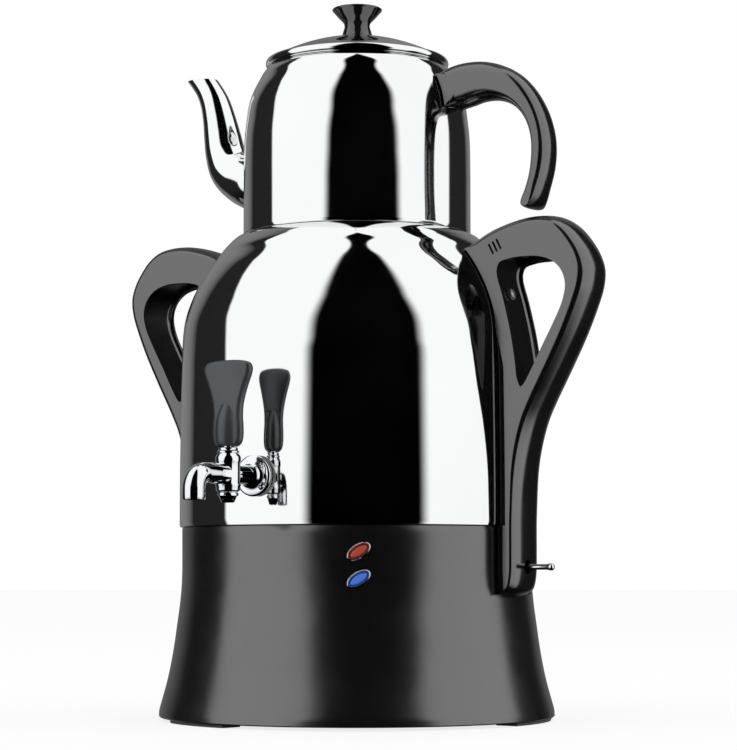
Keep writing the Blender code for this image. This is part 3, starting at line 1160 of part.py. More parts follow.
def build_lid(steel, plastic, screw_steel):
    """The domed lid with its rolled rim and collar, the knob and the knob's screw."""
    bead = LID_BEAD_HEIGHT
    dome_edge = LID_RADIUS - LID_BEAD_WIDTH
    rim_top = LID_Z + bead
    apex = rim_top + dome_edge * dome_edge / (2.0 * LID_DOME_RADIUS)
    hole = KNOB_SCREW_RADIUS + SEAT_GAP

    def dome(radius):
        return apex - radius * radius / (2.0 * LID_DOME_RADIUS)

    radii = [hole + (dome_edge - hole) * i / LID_DOME_STEPS for i in range(LID_DOME_STEPS + 1)]
    upper = [(r, dome(r)) for r in radii]
    collar = pot_profile()[-1][0] - POT_WALL - LID_COLLAR_GAP
    rim = [(LID_RADIUS - bead * 0.42, rim_top + bead * 0.02),
           (LID_RADIUS - bead * 0.12, rim_top - bead * 0.2),
           (LID_RADIUS, LID_Z + bead * 0.45), (LID_RADIUS - bead * 0.12, LID_Z + bead * 0.12),
           (LID_RADIUS - bead * 0.4, LID_Z), (collar, LID_Z),
           (collar, LID_Z - LID_COLLAR_DEPTH), (collar - LID_WALL, LID_Z - LID_COLLAR_DEPTH),
           (collar - LID_WALL, LID_Z + bead * 0.4)]
    lower = [(r, dome(r) - LID_WALL) for r in reversed(radii[:-1])]
    lathe("pot_lid", upper + rim + lower, steel)
    knob_low = apex + SEAT_GAP
    well = knob_low + KNOB_SCREW_DEPTH + SEAT_GAP
    knob = [(KNOB_RADIUS * r, knob_low + KNOB_HEIGHT * z) for r, z in KNOB_PROFILE_SHARES]
    lathe("lid_knob", [(0.0, well), (hole, well), (hole, knob_low)] + knob, plastic,
          MEDIUM_SIDES, closed=False)
    under = dome(KNOB_SCREW_HEAD_RADIUS) - LID_WALL - SEAT_GAP
    head = KNOB_SCREW_HEAD_HEIGHT
    lathe("lid_knob_screw",
          [(0.0, under - head), (KNOB_SCREW_HEAD_RADIUS * 0.7, under - head),
           (KNOB_SCREW_HEAD_RADIUS, under - head * 0.5), (KNOB_SCREW_HEAD_RADIUS, under),
           (KNOB_SCREW_RADIUS, under), (KNOB_SCREW_RADIUS, knob_low + KNOB_SCREW_DEPTH),
           (0.0, knob_low + KNOB_SCREW_DEPTH)],
          screw_steel, SMALL_SIDES, closed=False)


def build():
    """Model the whole samovar."""
    clear_scene()
    steel = finish("polished_steel", (0.82, 0.83, 0.84), 0.08, 1.0)
    chrome = finish("chrome", (0.86, 0.87, 0.88), 0.05, 1.0)
    zinc = finish("zinc_steel", (0.55, 0.55, 0.53), 0.35, 1.0)
    plastic = finish("black_plastic", (0.03, 0.03, 0.035), 0.30, 0.0)
    rubber = finish("black_rubber", (0.02, 0.02, 0.02), 0.85, 0.0)
    seal = finish("grey_silicone", (0.30, 0.30, 0.30), 0.60, 0.0)
    red = finish("red_lens", (0.35, 0.05, 0.03), 0.15, 0.0)
    blue = finish("blue_lens", (0.05, 0.15, 0.60), 0.15, 0.0)
    board = finish("board_resin", (0.10, 0.28, 0.16), 0.55, 0.0)
    shell = build_base(plastic, rubber, zinc)
    build_kettle(steel, seal)
    build_heating(zinc, plastic, board)
    build_inlet(shell, plastic, zinc)
    build_lamps(shell, chrome, red, blue, board)
    build_side_handles(shell, plastic, zinc, chrome)
    build_tap(chrome, plastic, seal)
    build_pot(steel, plastic, zinc)
    build_lid(steel, plastic, zinc)


build()
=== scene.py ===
"""Looks of an electric samovar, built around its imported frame.

Every piece is in metres in the frame's own axes: the floor is z = 0, the tap points to -Y, the
handle with the switch to +X and the teapot's spout to -X.
"""

import logging
import math
from dataclasses import dataclass
from enum import Enum
from functools import partial
from typing import Callable, Sequence

import bmesh
import bpy
from mathutils import Matrix, Vector
from mathutils.geometry import tessellate_polygon


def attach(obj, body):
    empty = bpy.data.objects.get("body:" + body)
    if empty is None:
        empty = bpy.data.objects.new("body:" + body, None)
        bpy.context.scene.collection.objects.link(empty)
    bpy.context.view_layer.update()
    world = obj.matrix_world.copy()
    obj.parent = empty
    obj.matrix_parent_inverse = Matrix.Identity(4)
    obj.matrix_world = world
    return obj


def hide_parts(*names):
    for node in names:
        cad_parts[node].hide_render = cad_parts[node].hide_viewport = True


LOG = logging.getLogger("samovar")
Pair = tuple[float, float]
Triple = tuple[float, float, float]
Flat = Sequence[Pair]
Points = Sequence[Sequence[float]]
Item = bpy.types.Object
Socket = bpy.types.NodeSocket
Tree = bpy.types.NodeTree
Solid = bmesh.types.BMesh


class Body(Enum):
    """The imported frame's bodies that pieces ride on."""

    ROOT = "root"
    TAP_HANDLE = "tap_handle"
    SWITCH_TOGGLE = "switch_toggle"
    TEAPOT = "teapot"
    TEAPOT_LID = "teapot_lid"


def add(tree: Tree, kind: str, inputs: dict | None = None,
        **settings: object) -> bpy.types.Node:
    """Add a node to a tree.

    Args:
        tree: The node tree.
        kind: The node's type.
        inputs: For each input, by name or number, a socket to link or a plain value.
        settings: The node's own properties.

    Returns:
        The node.
    """
    made = tree.nodes.new(kind)
    for key, value in settings.items():
        setattr(made, key, value)
    for key, value in (inputs or {}).items():
        if isinstance(value, Socket):
            tree.links.new(value, made.inputs[key])
        else:
            made.inputs[key].default_value = value
    return made


def maths(tree: Tree, operation: str, *values: object) -> Socket:
    """Add a maths node with sockets or numbers for inputs, and hand back its result."""
    return add(tree, "ShaderNodeMath", dict(enumerate(values)), operation=operation).outputs[0]


@dataclass(frozen=True)
class Grain:
    """A noise pattern: cells per metre, octaves, and how much denser it is along each axis."""

    scale: float
    detail: float = 3.0
    stretch: Triple = (1.0, 1.0, 1.0)


@dataclass(frozen=True)
class Recipe:
    """A Principled material whose roughness, tone and height vary over the piece."""

    name: str
    tone: Triple
    second_tone: Triple
    roughness: Pair
    rough_grain: Grain
    tone_grain: Grain
    bumps: tuple[tuple[Grain, float], ...]
    metallic: float = 0.0
    sockets: tuple[tuple[str, float], ...] = ()

    def make(self) -> bpy.types.Material:
        """Build the material."""
        material = bpy.data.materials.new(self.name)
        material.use_nodes = True
        tree = material.node_tree
        shader = tree.nodes["Principled BSDF"].inputs
        for key, value in (("Base Color", (*self.tone, 1.0)), ("Roughness", self.roughness[0]),
                           ("Metallic", self.metallic), *self.sockets):
            shader[key].default_value = value
        place = add(tree, "ShaderNodeTexCoord").outputs["Object"]

        def noise(grain: Grain) -> Socket:
            spot = add(tree, "ShaderNodeMapping", {"Vector": place, "Scale": grain.stretch})
            return add(tree, "ShaderNodeTexNoise", {
                "Vector": spot.outputs["Vector"], "Scale": grain.scale,
                "Detail": grain.detail}).outputs["Fac"]

        def spread(grain: Grain, low: float, high: float) -> Socket:
            return add(tree, "ShaderNodeMapRange", {
                "Value": noise(grain), "From Min": 0.35, "From Max": 0.65, "To Min": low,
                "To Max": high}).outputs["Result"]

        tree.links.new(spread(self.rough_grain, *self.roughness), shader["Roughness"])
        blend = add(tree, "ShaderNodeMix", {
            "Factor": spread(self.tone_grain, 0.0, 1.0), 6: (*self.tone, 1.0),
            7: (*self.second_tone, 1.0)}, data_type="RGBA")
        tree.links.new(blend.outputs[2], shader["Base Color"])
        normal: dict = {}
        for grain, height in self.bumps:
            made = add(tree, "ShaderNodeBump", {
                "Strength": 1.0, "Distance": height, "Height": noise(grain), **normal})
            normal = {"Normal": made.outputs["Normal"]}
        tree.links.new(normal["Normal"], shader["Normal"])
        return material


def polished(name: str, tone: Triple, roughness: float = 0.035, haze: float = 0.03,
             line_height: float = 0.0000004) -> Recipe:
    """Mirror-polished steel or plate: faint turning lines, and a haze where it is handled."""
    return Recipe(name, tone, tuple(c * 0.965 for c in tone), (roughness, roughness + haze),
                  Grain(16.0, 4.0), Grain(7.0, 2.0),
                  ((Grain(90.0, 2.0, (1.0, 1.0, 28.0)), line_height),), 1.0)


def moulded(name: str, tone: Triple, roughness: Pair, grain_height: float = 0.000006,
            specular: float = 0.75, index: float = 1.5) -> Recipe:
    """Black moulding: its gloss, the tool's fine grain and the mould's slow waves."""
    return Recipe(name, tone, tuple(c * 1.5 for c in tone), roughness, Grain(70.0, 5.0),
                  Grain(28.0), ((Grain(14.0, 1.0), 0.00012), (Grain(1900.0), grain_height)),
                  0.0, (("Specular IOR Level", specular), ("IOR", index)))


def seal(name: str, tone: Triple, bloom: Triple) -> Recipe:
    """Rubber or silicone: matt, with a fine grain and a dusty bloom."""
    return Recipe(name, tone, bloom, (0.6, 0.85), Grain(150.0, 4.0), Grain(90.0, 5.0),
                  ((Grain(1500.0, 4.0), 0.00003),), 0.0, (("Sheen Weight", 0.15),))


def glass(name: str, tone: Triple, deep: Triple) -> Recipe:
    """Clear tinted plastic over a dark housing, with a moulded sparkle inside."""
    return Recipe(name, tone, deep, (0.12, 0.3), Grain(600.0, 2.0), Grain(420.0),
                  ((Grain(700.0, 2.0), 0.0001),), 0.0,
                  (("Coat Weight", 0.7), ("Coat Roughness", 0.03), ("Specular IOR Level", 0.6)))


class Finish(Enum):
    """Every finish on the samovar, with the frame's material slot that it belongs to."""

    STEEL = ("polished_steel", polished("mirror_steel", (0.83, 0.835, 0.84)))
    INNER_STEEL = ("polished_steel", polished("inner_steel", (0.72, 0.72, 0.71), 0.22, 0.12,
                                              0.000004))
    CHROME = ("chrome", polished("chrome_plate", (0.80, 0.81, 0.83), 0.03, 0.03))
    ZINC = ("zinc_steel", Recipe("zinc_plate", (0.55, 0.55, 0.53), (0.66, 0.655, 0.60),
                                 (0.24, 0.46), Grain(260.0, 4.0), Grain(120.0, 5.0),
                                 ((Grain(900.0), 0.00002),), 1.0))
    BASE_PLASTIC = ("black_plastic", moulded("base_moulding", (0.002, 0.002, 0.0022), (0.2, 0.24),
                                             specular=1.0, index=1.75))
    HANDLE_PLASTIC = ("black_plastic", moulded("handle_moulding", (0.0032, 0.0032, 0.0038),
                                               (0.12, 0.16), 0.000003, 1.0, 1.7))
    KNOB_PLASTIC = ("black_plastic", moulded("knob_moulding", (0.004, 0.004, 0.0045),
                                             (0.05, 0.08), 0.000002, 1.0, 1.6))
    GRIP_PLASTIC = ("black_plastic", moulded("grip_moulding", (0.020, 0.021, 0.023), (0.28, 0.36)))
    INNER_PLASTIC = ("black_plastic", moulded("inner_moulding", (0.015, 0.015, 0.015),
                                              (0.45, 0.6), 0.00002, 0.5))
    RUBBER = ("black_rubber", seal("foot_rubber", (0.018, 0.018, 0.018), (0.035, 0.034, 0.033)))
    SILICONE = ("grey_silicone", seal("seal_silicone", (0.26, 0.26, 0.26), (0.34, 0.34, 0.33)))
    RED_LENS = ("red_lens", glass("red_lens", (0.30, 0.07, 0.05), (0.12, 0.025, 0.02)))
    BLUE_LENS = ("blue_lens", glass("blue_lens", (0.05, 0.17, 0.30), (0.02, 0.06, 0.13)))
    BOARD = ("board_resin", Recipe("board_resin", (0.06, 0.20, 0.10), (0.09, 0.27, 0.14),
                                   (0.35, 0.55), Grain(300.0), Grain(700.0, 2.0, (1.0, 3.0, 1.0)),
                                   ((Grain(900.0, 2.0, (3.0, 1.0, 1.0)), 0.00002),)))

    @property
    def slot(self) -> str:
        """The record's material slot."""
        return self.value[0]

    @property
    def material(self) -> bpy.types.Material:
        """The finish's material, made once."""
        recipe = self.value[1]
        return bpy.data.materials.get(recipe.name) or recipe.make()


def catmull(points: Points, steps: int, closed: bool = False) -> list[Vector]:
    """Run a smooth curve through points.

    Args:
        points: The points, all of one dimension.
        steps: Curve points for each span.
        closed: Whether the curve returns to its first point.

    Returns:
        The curve's points; an open curve keeps both ends.
    """
    given = [Vector(p) for p in points]
    count = len(given)
    spans = count if closed else count - 1
    curve = []
    for i in range(spans):
        p1, p2 = given[i], given[(i + 1) % count]
        p0 = given[i - 1] if closed or i else p1 * 2.0 - p2
        p3 = given[(i + 2) % count] if closed or i + 2 < count else p2 * 2.0 - p1
        k1 = max((p1 - p0).length, 1e-6) ** 0.5
        k2 = max((p2 - p1).length, 1e-6) ** 0.5
        k3 = max((p3 - p2).length, 1e-6) ** 0.5
        m1 = (p2 - p1) + (((p1 - p0) / k1) - ((p2 - p0) / (k1 + k2))) * k2
        m2 = (p2 - p1) + (((p3 - p2) / k3) - ((p3 - p1) / (k2 + k3))) * k2
        for j in range(steps):
            t = j / steps
            t2, t3 = t * t, t * t * t
            curve.append(p1 * (2 * t3 - 3 * t2 + 1) + m1 * (t3 - 2 * t2 + t)
                         + p2 * (3 * t2 - 2 * t3) + m2 * (t3 - t2))
    if not closed:
        curve.append(given[-1])
    return curve


def around(sides: int) -> list[float]:
    """Angles of a full turn in equal steps."""
    return [2.0 * math.pi * k / sides for k in range(sides)]


def curve(points: Points, steps: int, closed: bool = False) -> list[Pair]:
    """The smooth curve through flat points, as plain pairs."""
    return [(p.x, p.y) for p in catmull(points, steps, closed)]


def fillet(points: Flat, radius: float, steps: int = 4) -> list[Pair]:
    """Round the corners of a closed flat outline with short arcs.

    Args:
        points: The corners.
        radius: How far from each corner its arc starts, at most.
        steps: Points for each arc, less one.

    Returns:
        The rounded outline.
    """
    made: list[Pair] = []
    for i, point in enumerate(points):
        here = Vector(point)
        before = Vector(points[i - 1]) - here
        after = Vector(points[(i + 1) % len(points)]) - here
        reach = min(radius, before.length * 0.45, after.length * 0.45)
        start = here + before.normalized() * reach
        end = here + after.normalized() * reach
        for t in (j / steps for j in range(steps + 1)):
            spot = start * (1 - t) ** 2 + here * 2 * t * (1 - t) + end * t ** 2
            made.append((spot.x, spot.y))
    return made


def corners(half_x: float, half_y: float) -> list[Pair]:
    """Corners of a rectangle round the origin."""
    return [(half_x, -half_y), (half_x, half_y), (-half_x, half_y), (-half_x, -half_y)]


def spin(profile: Flat, sides: int, closed: bool = False) -> Solid:
    """Turn a profile of (radius, height) about the Z axis.

    Args:
        profile: The profile; an open one starts and ends on the axis.
        sides: Steps round the axis.
        closed: Whether the profile is a loop clear of the axis.

    Returns:
        The turned mesh.
    """
    bm = bmesh.new()
    verts = [bm.verts.new((r, 0.0, z)) for r, z in profile]
    pairs = list(zip(verts, verts[1:])) + ([(verts[-1], verts[0])] if closed else [])
    edges = [bm.edges.new(pair) for pair in pairs]
    bmesh.ops.spin(bm, geom=verts + edges, cent=(0, 0, 0), axis=(0, 0, 1), angle=2.0 * math.pi,
                   steps=sides, use_merge=True, use_duplicate=False)
    return bm


def rod(radius: float, low: float, high: float, sides: int = 48,
        top: float | None = None) -> Solid:
    """A round rod along Z, tapering where it has a top radius."""
    end = radius if top is None else top
    return spin([(0.0, low), (radius, low), (end, high), (0.0, high)], sides)


def strips(bm: Solid, rows: list, wrap: bool = False) -> None:
    """Join rings of points with quads, the last to the first too if they wrap round."""
    for first, second in zip(rows, rows[1:] + (rows[:1] if wrap else [])):
        for i in range(len(first)):
            j = (i + 1) % len(first)
            bm.faces.new((first[i], first[j], second[j], second[i]))


def skin(rings: Sequence[Points], wrap: bool = False) -> Solid:
    """Join rings of points with quads, and cap both ends unless the rings wrap round."""
    bm = bmesh.new()
    rows = [[bm.verts.new(p) for p in ring] for ring in rings]
    strips(bm, rows, wrap)
    if not wrap:
        bm.faces.new(reversed(rows[0]))
        bm.faces.new(rows[-1])
    return bm


def flat_caps(bm: Solid, loops: Sequence[list]) -> None:
    """Close both ends of loops of rings that follow each other along Y, holes included."""
    for end in (0, -1):
        flat = [[Vector((v.co.x, v.co.z, 0.0)) for v in loop[end]] for loop in loops]
        verts = [v for loop in loops for v in loop[end]]
        for triangle in tessellate_polygon(flat):
            bm.faces.new([verts[i] for i in triangle])


def prism(outline: Flat, low: float, high: float) -> Solid:
    """A flat outline drawn out along Z."""
    return skin([[(x, y, z) for x, y in outline] for z in (low, high)])


def block(centre: Sequence[float], size: Triple) -> Solid:
    """A rectangular block round a centre."""
    bm = bmesh.new()
    bmesh.ops.create_cube(bm, size=1.0)
    return moved(bm, Matrix.Translation(centre) @ Matrix.Diagonal((*size, 1.0)))


def tube_rings(path: Sequence[Vector], radii: Sequence[float], sides: int,
               across: Vector | None = None) -> list[list[Vector]]:
    """Circles along a path.

    Args:
        path: The path's points.
        radii: A radius for each point.
        sides: Points for each circle.
        across: A vector square to the whole path, or nothing to start each circle on the
            side away from the Z axis.

    Returns:
        The circles.
    """
    rings = []
    last = len(path) - 1
    for i, point in enumerate(path):
        ahead = (path[min(i + 1, last)] - path[max(i - 1, 0)]).normalized()
        first = across
        if across is None:
            out = Vector((point.x, point.y, 0.0)).normalized()
            first = (out - ahead * out.dot(ahead)).normalized()
        second = ahead.cross(first)
        rings.append([point + (first * math.cos(a) + second * math.sin(a)) * radii[i]
                      for a in around(sides)])
    return rings


def outward(points: Points, closed: bool = True) -> list[Vector]:
    """Unit normals of an outline, on the right-hand side of its direction."""
    normals = []
    last = len(points) - 1
    for i in range(last + 1):
        ends = ((i + 1) % (last + 1), i - 1) if closed else (min(i + 1, last), max(i - 1, 0))
        along = (Vector(points[ends[0]]) - Vector(points[ends[1]])).normalized()
        normals.append(Vector((along.y, -along.x)))
    return normals


def offset_profile(points: Flat, wall: float) -> list[Pair]:
    """Move an open profile of (radius, height) inwards by a wall."""
    return [(r - n.x * wall, z - n.y * wall)
            for (r, z), n in zip(points, outward(points, False))]


def radius_at(profile: Flat, height: float) -> float:
    """Radius of a rising profile at a height."""
    for (r0, z0), (r1, z1) in zip(profile, profile[1:]):
        if height <= z1:
            share = min(max((height - z0) / (z1 - z0), 0.0), 1.0) if z1 > z0 else 1.0
            return r0 + (r1 - r0) * share
    return profile[-1][0]


def wall_frame(azimuth: float, radius: float, height: float, tilt: float = 0.0) -> Matrix:
    """Frame whose Z points straight out of the wall, X along the wall and Y up."""
    out = Vector((math.sin(azimuth), -math.cos(azimuth), 0.0))
    along = Vector((math.cos(azimuth), math.sin(azimuth), 0.0))
    made = Matrix((along, Vector((0, 0, 1)), out)).transposed().to_4x4()
    made.translation = out * radius + Vector((0, 0, height))
    return made @ Matrix.Rotation(tilt, 4, "Z")


def moved(bm: Solid, matrix: Matrix) -> Solid:
    """Move a mesh with a matrix and hand it back."""
    bmesh.ops.transform(bm, matrix=matrix, verts=bm.verts)
    return bm


def shade(mesh: bpy.types.Mesh, sharp: float) -> None:
    """Shade a mesh smooth, apart from its edges past an angle in degrees."""
    mesh.shade_smooth()
    mesh.set_sharp_from_angle(angle=math.radians(sharp))


def linked(name: str, data: bpy.types.ID) -> Item:
    """Put data into the scene as an object at the origin."""
    item = bpy.data.objects.new(name, data)
    bpy.context.scene.collection.objects.link(item)
    return item


def mesh_object(name: str, bm: Solid, sharp: float = 35.0) -> Item:
    """Turn a closed mesh into an object at the origin, its faces outwards and shaded smooth."""
    bmesh.ops.remove_doubles(bm, verts=bm.verts, dist=1e-6)
    bmesh.ops.recalc_face_normals(bm, faces=bm.faces)
    mesh = bpy.data.meshes.new(name)
    bm.to_mesh(mesh)
    bm.free()
    shade(mesh, sharp)
    return linked(name, mesh)


def taken(item: Item) -> Solid:
    """Take an object's mesh and remove the object."""
    bm = bmesh.new()
    bm.from_mesh(item.data)
    bpy.data.objects.remove(item, do_unlink=True)
    return bm


def combine(item: Item, cuts: Sequence[Solid], sharp: float = 35.0,
            joins: Sequence[Solid] = ()) -> Item:
    """Join meshes to an object, then cut others from it, exactly.

    Args:
        item: The object.
        cuts: The meshes to cut away.
        sharp: Angle in degrees past which an edge shades sharp.
        joins: The meshes to join first.

    Returns:
        The same object, with the result as its own mesh.
    """
    guides = []
    for operation, meshes in (("UNION", joins), ("DIFFERENCE", cuts)):
        for bm in meshes:
            guides.append(mesh_object(f"{item.name}_guide", bm))
            step = item.modifiers.new(operation, "BOOLEAN")
            step.operation, step.solver, step.object = operation, "EXACT", guides[-1]
    return settle(item, guides, sharp)


def settle(item: Item, guides: Sequence[Item] = (),
           sharp: float = 35.0) -> Item:
    """Make what an object's modifiers show its own plain mesh, and remove their guides."""
    bpy.context.view_layer.update()
    shown = item.evaluated_get(bpy.context.evaluated_depsgraph_get())
    mesh = bpy.data.meshes.new_from_object(shown)
    item.modifiers.clear()
    mesh.name = item.name
    item.data = mesh
    shade(mesh, sharp)
    for guide in guides:
        bpy.data.objects.remove(guide, do_unlink=True)
    return item


def dress(item: Item, finish: Finish, stands_for: Sequence[str],
          body: Body = Body.ROOT) -> None:
    """Give a finished piece its finish and its body, and hide the nodes it stands for."""
    item.data.materials.clear()
    item.data.materials.append(finish.material)
    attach(item, body.value)
    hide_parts(*stands_for)
    LOG.info("%s rides %s in %s", item.name, body.value, finish.value[1].name)


KEPT_NODES = (
    (Finish.INNER_PLASTIC, ("base_plate", "power_inlet", "boil_thermostat", "boil_dry_cutout",
                            "switch_body")),
    (Finish.RUBBER, ("rubber_foot_1", "rubber_foot_2", "rubber_foot_3")),
    (Finish.BOARD, ("terminal_block", "lamp_board")),
    (Finish.INNER_STEEL, ("kettle_bottom",)),
    (Finish.SILICONE, ("pot_seat_ring", "element_seal_1", "element_seal_2", "tap_washer")),
    (Finish.ZINC, ("keep_warm_heater", "right_handle_lower_screw", "right_handle_upper_screw",
                   "left_handle_lower_screw", "left_handle_upper_screw", "pot_handle_screw",
                   "lid_knob_screw")),
)


def dress_kept_nodes(frame: dict) -> None:
    """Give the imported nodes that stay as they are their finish."""
    for finish, names in KEPT_NODES:
        for name in names:
            node = frame["nodes"][name]
            node.data.materials.clear()
            node.data.materials.append(finish.material)
            LOG.info("%s keeps its solid, in %s", name, finish.value[1].name)


class Repeater:
    """A Geometry Nodes tree that repeats one small solid round a ring."""

    INPUTS = (("Count", "Int"), ("Ring Radius", "Float"), ("Start Angle", "Float"),
              ("Material", "Material"))

    def __init__(self, name: str) -> None:
        """Build the tree: points round a ring, each with its turned copy."""
        tree = self.tree = bpy.data.node_groups.new(name, "GeometryNodeTree")
        for way in ("INPUT", "OUTPUT"):
            tree.interface.new_socket("Geometry", in_out=way, socket_type="NodeSocketGeometry")
        self.identifiers = {
            label: tree.interface.new_socket(label, in_out="INPUT",
                                             socket_type=f"NodeSocket{kind}").identifier
            for label, kind in self.INPUTS}
        given = add(tree, "NodeGroupInput").outputs
        points = add(tree, "GeometryNodePoints", {"Count": given["Count"]}).outputs[0]
        index = add(tree, "GeometryNodeInputIndex").outputs[0]
        turn = maths(tree, "MULTIPLY", maths(tree, "DIVIDE", index, given["Count"]), 2.0 * math.pi)
        angle = maths(tree, "ADD", turn, given["Start Angle"])
        x, y = (maths(tree, "MULTIPLY", given["Ring Radius"], maths(tree, wave, angle))
                for wave in ("COSINE", "SINE"))
        spots = add(tree, "GeometryNodeSetPosition", {
            "Geometry": points,
            "Position": add(tree, "ShaderNodeCombineXYZ", {"X": x, "Y": y}).outputs[0]})
        copies = add(tree, "GeometryNodeInstanceOnPoints", {
            "Points": spots.outputs[0], "Instance": given["Geometry"],
            "Rotation": add(tree, "ShaderNodeCombineXYZ", {"Z": angle}).outputs[0]})
        real = add(tree, "GeometryNodeRealizeInstances", {0: copies.outputs[0]})
        paint = add(tree, "GeometryNodeSetMaterial", {
            "Geometry": real.outputs[0], "Material": given["Material"]})
        add(tree, "NodeGroupOutput", {0: paint.outputs[0]})

    def repeat(self, name: str, one: Solid, finish: Finish, count: int,
               ring_radius: float, start_angle: float = 0.0) -> Item:
        """Repeat a solid and hand back one plain object with all its copies.

        Args:
            name: The object's name.
            one: The solid to repeat, built round the origin.
            finish: The copies' finish.
            count: How many copies.
            ring_radius: Radius of the ring.
            start_angle: Angle of the first copy, from X.

        Returns:
            The object, without its modifier.
        """
        item = mesh_object(name, one)
        step = item.modifiers.new("repeat", "NODES")
        step.node_group = self.tree
        values = (count, ring_radius, start_angle, finish.material)
        for (label, _), value in zip(self.INPUTS, values):
            step[self.identifiers[label]] = value
        return settle(item)


@dataclass
class Base:
    """The flared black base with its lamps, inlet, plate, feet and screws."""

    radius: float = 0.1250
    top_radius: float = 0.1110
    height: float = 0.1205
    wall: float = 0.0026
    foot_height: float = 0.0020
    flange_radius: float = 0.0927
    lamp_azimuth: float = math.radians(33.0)
    lamp_length: float = 0.0159
    lamp_width: float = 0.0088
    lamp_tilt: float = math.radians(33.0)
    bezel_border: float = 0.0017
    screw_ring: float = 0.0967

    LAMPS = (("red", 0.1048, Finish.RED_LENS), ("blue", 0.0885, Finish.BLUE_LENS))

    def profile(self) -> list[Pair]:
        """Outer profile from the rim up, as a smooth curve."""
        shares = ((1.0, 0.0), (0.98, 0.035), (0.87, 0.085), (0.61, 0.20), (0.38, 0.34),
                  (0.20, 0.49), (0.07, 0.61), (0.0, 0.725), (0.0, 1.0))
        flare = self.radius - self.top_radius
        rise = self.height - self.foot_height
        points = [(self.top_radius + flare * r, self.foot_height + rise * z) for r, z in shares]
        return curve(points, 6)

    def housing(self) -> Item:
        """The shell, its rim broken by a small round, with the inlet's and lamps' openings."""
        outer = self.profile()
        outer[0] = (outer[0][0] - 0.0008, outer[0][1])
        top = outer.pop()
        edge = 0.0006
        outer += [(top[0], top[1] - edge), (top[0] - edge * 0.3, top[1] - edge * 0.3),
                  (top[0] - edge, top[1])]
        ledge = [(self.flange_radius, self.height), (self.flange_radius, self.height - self.wall)]
        inner = [(r - self.wall, min(z, self.height - self.wall)) for r, z in outer[1:-3:3]]
        inner[0] = (inner[0][0], self.foot_height)
        inner.append((self.top_radius - self.wall, self.height - self.wall))
        item = mesh_object("base_housing", spin(outer + ledge + inner[::-1], 160, True))
        inlet_half_x, inlet_half_z, inlet_corner, inlet_height = 0.0143, 0.0108, 0.00546, 0.0420
        inlet = prism(fillet(corners(inlet_half_x, inlet_half_z), inlet_corner, 6), -0.02, 0.02)
        cuts = [moved(inlet, wall_frame(math.pi, 0.1178, inlet_height))]
        for _, height, _ in self.LAMPS:
            rings = [self.oval(self.bezel_border - 0.0006, z) for z in (-0.007, 0.005)]
            cuts.append(moved(skin(rings), self.lamp_frame(height)))
        return combine(item, cuts)

    def lamp_frame(self, height: float) -> Matrix:
        """Frame of a lamp on the wall."""
        return wall_frame(self.lamp_azimuth, self.top_radius, height, self.lamp_tilt)

    def oval(self, inset: float, height: float, scale: float = 1.0) -> list[Triple]:
        """Points of a lamp's oval at a height, drawn in by an inset and scaled."""
        half_x, half_y = ((size - inset) * scale / 2.0
                          for size in (self.lamp_length, self.lamp_width))
        return [(math.cos(a) * half_x, math.sin(a) * half_y, height) for a in around(64)]

    def bezel(self, colour: str, height: float) -> Item:
        """A lamp's bright oval bezel with a rounded lip."""
        border = self.bezel_border
        inner = 2.0 * border
        steps = ((border, -0.005), (border, 0.0003), (0.0, 0.0003), (-0.0001, 0.0008),
                 (border * 0.25, 0.0014), (border * 0.7, 0.0017), (border * 1.2, 0.0017),
                 (border * 1.7, 0.0012), (inner, 0.0005), (inner, -0.005))
        rings = [self.oval(s, z) for s, z in steps]
        return mesh_object(f"{colour}_lamp_rim", moved(skin(rings, True), self.lamp_frame(height)))

    def lens(self, colour: str, height: float) -> Item:
        """A lamp's domed lens with a flattened middle."""
        dome = ((1.0, -0.0085), (1.0, 0.0002), (0.985, 0.0006), (0.93, 0.0010), (0.82, 0.00135),
                (0.62, 0.0016), (0.36, 0.0017), (0.08, 0.0017))
        rings = [self.oval(2.0 * self.bezel_border + 0.0004, z, s) for s, z in dome]
        return mesh_object(f"{colour}_lamp_glass", moved(skin(rings), self.lamp_frame(height)),
                           50.0)

    def build(self, repeater: Repeater) -> None:
        """Make and dress every piece of the base."""
        dress(self.housing(), Finish.BASE_PLASTIC, ["base_shell"])
        for colour, height, tinted in self.LAMPS:
            dress(self.bezel(colour, height), Finish.CHROME, [f"{colour}_lamp_bezel"])
            dress(self.lens(colour, height), tinted, [f"{colour}_lamp_lens"])
        head = spin([(0.0, 0.0020), (0.0034, 0.0020), (0.0036, 0.0023), (0.0036, 0.0036),
                     (0.0018, 0.0036), (0.0018, 0.0140), (0.0, 0.0140)], 40)
        cross = self.cross_recess(0.0019, 0.0006, 0.0015, 0.0033)
        pattern = taken(combine(mesh_object("screw_pattern", head), [cross]))
        screws = repeater.repeat("plate_screws", pattern, Finish.ZINC, 3, self.screw_ring,
                                 math.radians(-35.0))
        dress(screws, Finish.ZINC, [f"base_screw_{k}" for k in (1, 2, 3)])

    @staticmethod
    def cross_recess(reach: float, half: float, low: float, high: float) -> Solid:
        """A cross-shaped prism that cuts a screw's drive, along Z."""
        ring = [(reach, -half), (reach, half), (half, half), (half, reach), (-half, reach),
                (-half, half), (-reach, half), (-reach, -half), (-half, -half), (-half, -reach),
                (half, -reach), (half, -half)]
        return prism(ring, low, high)


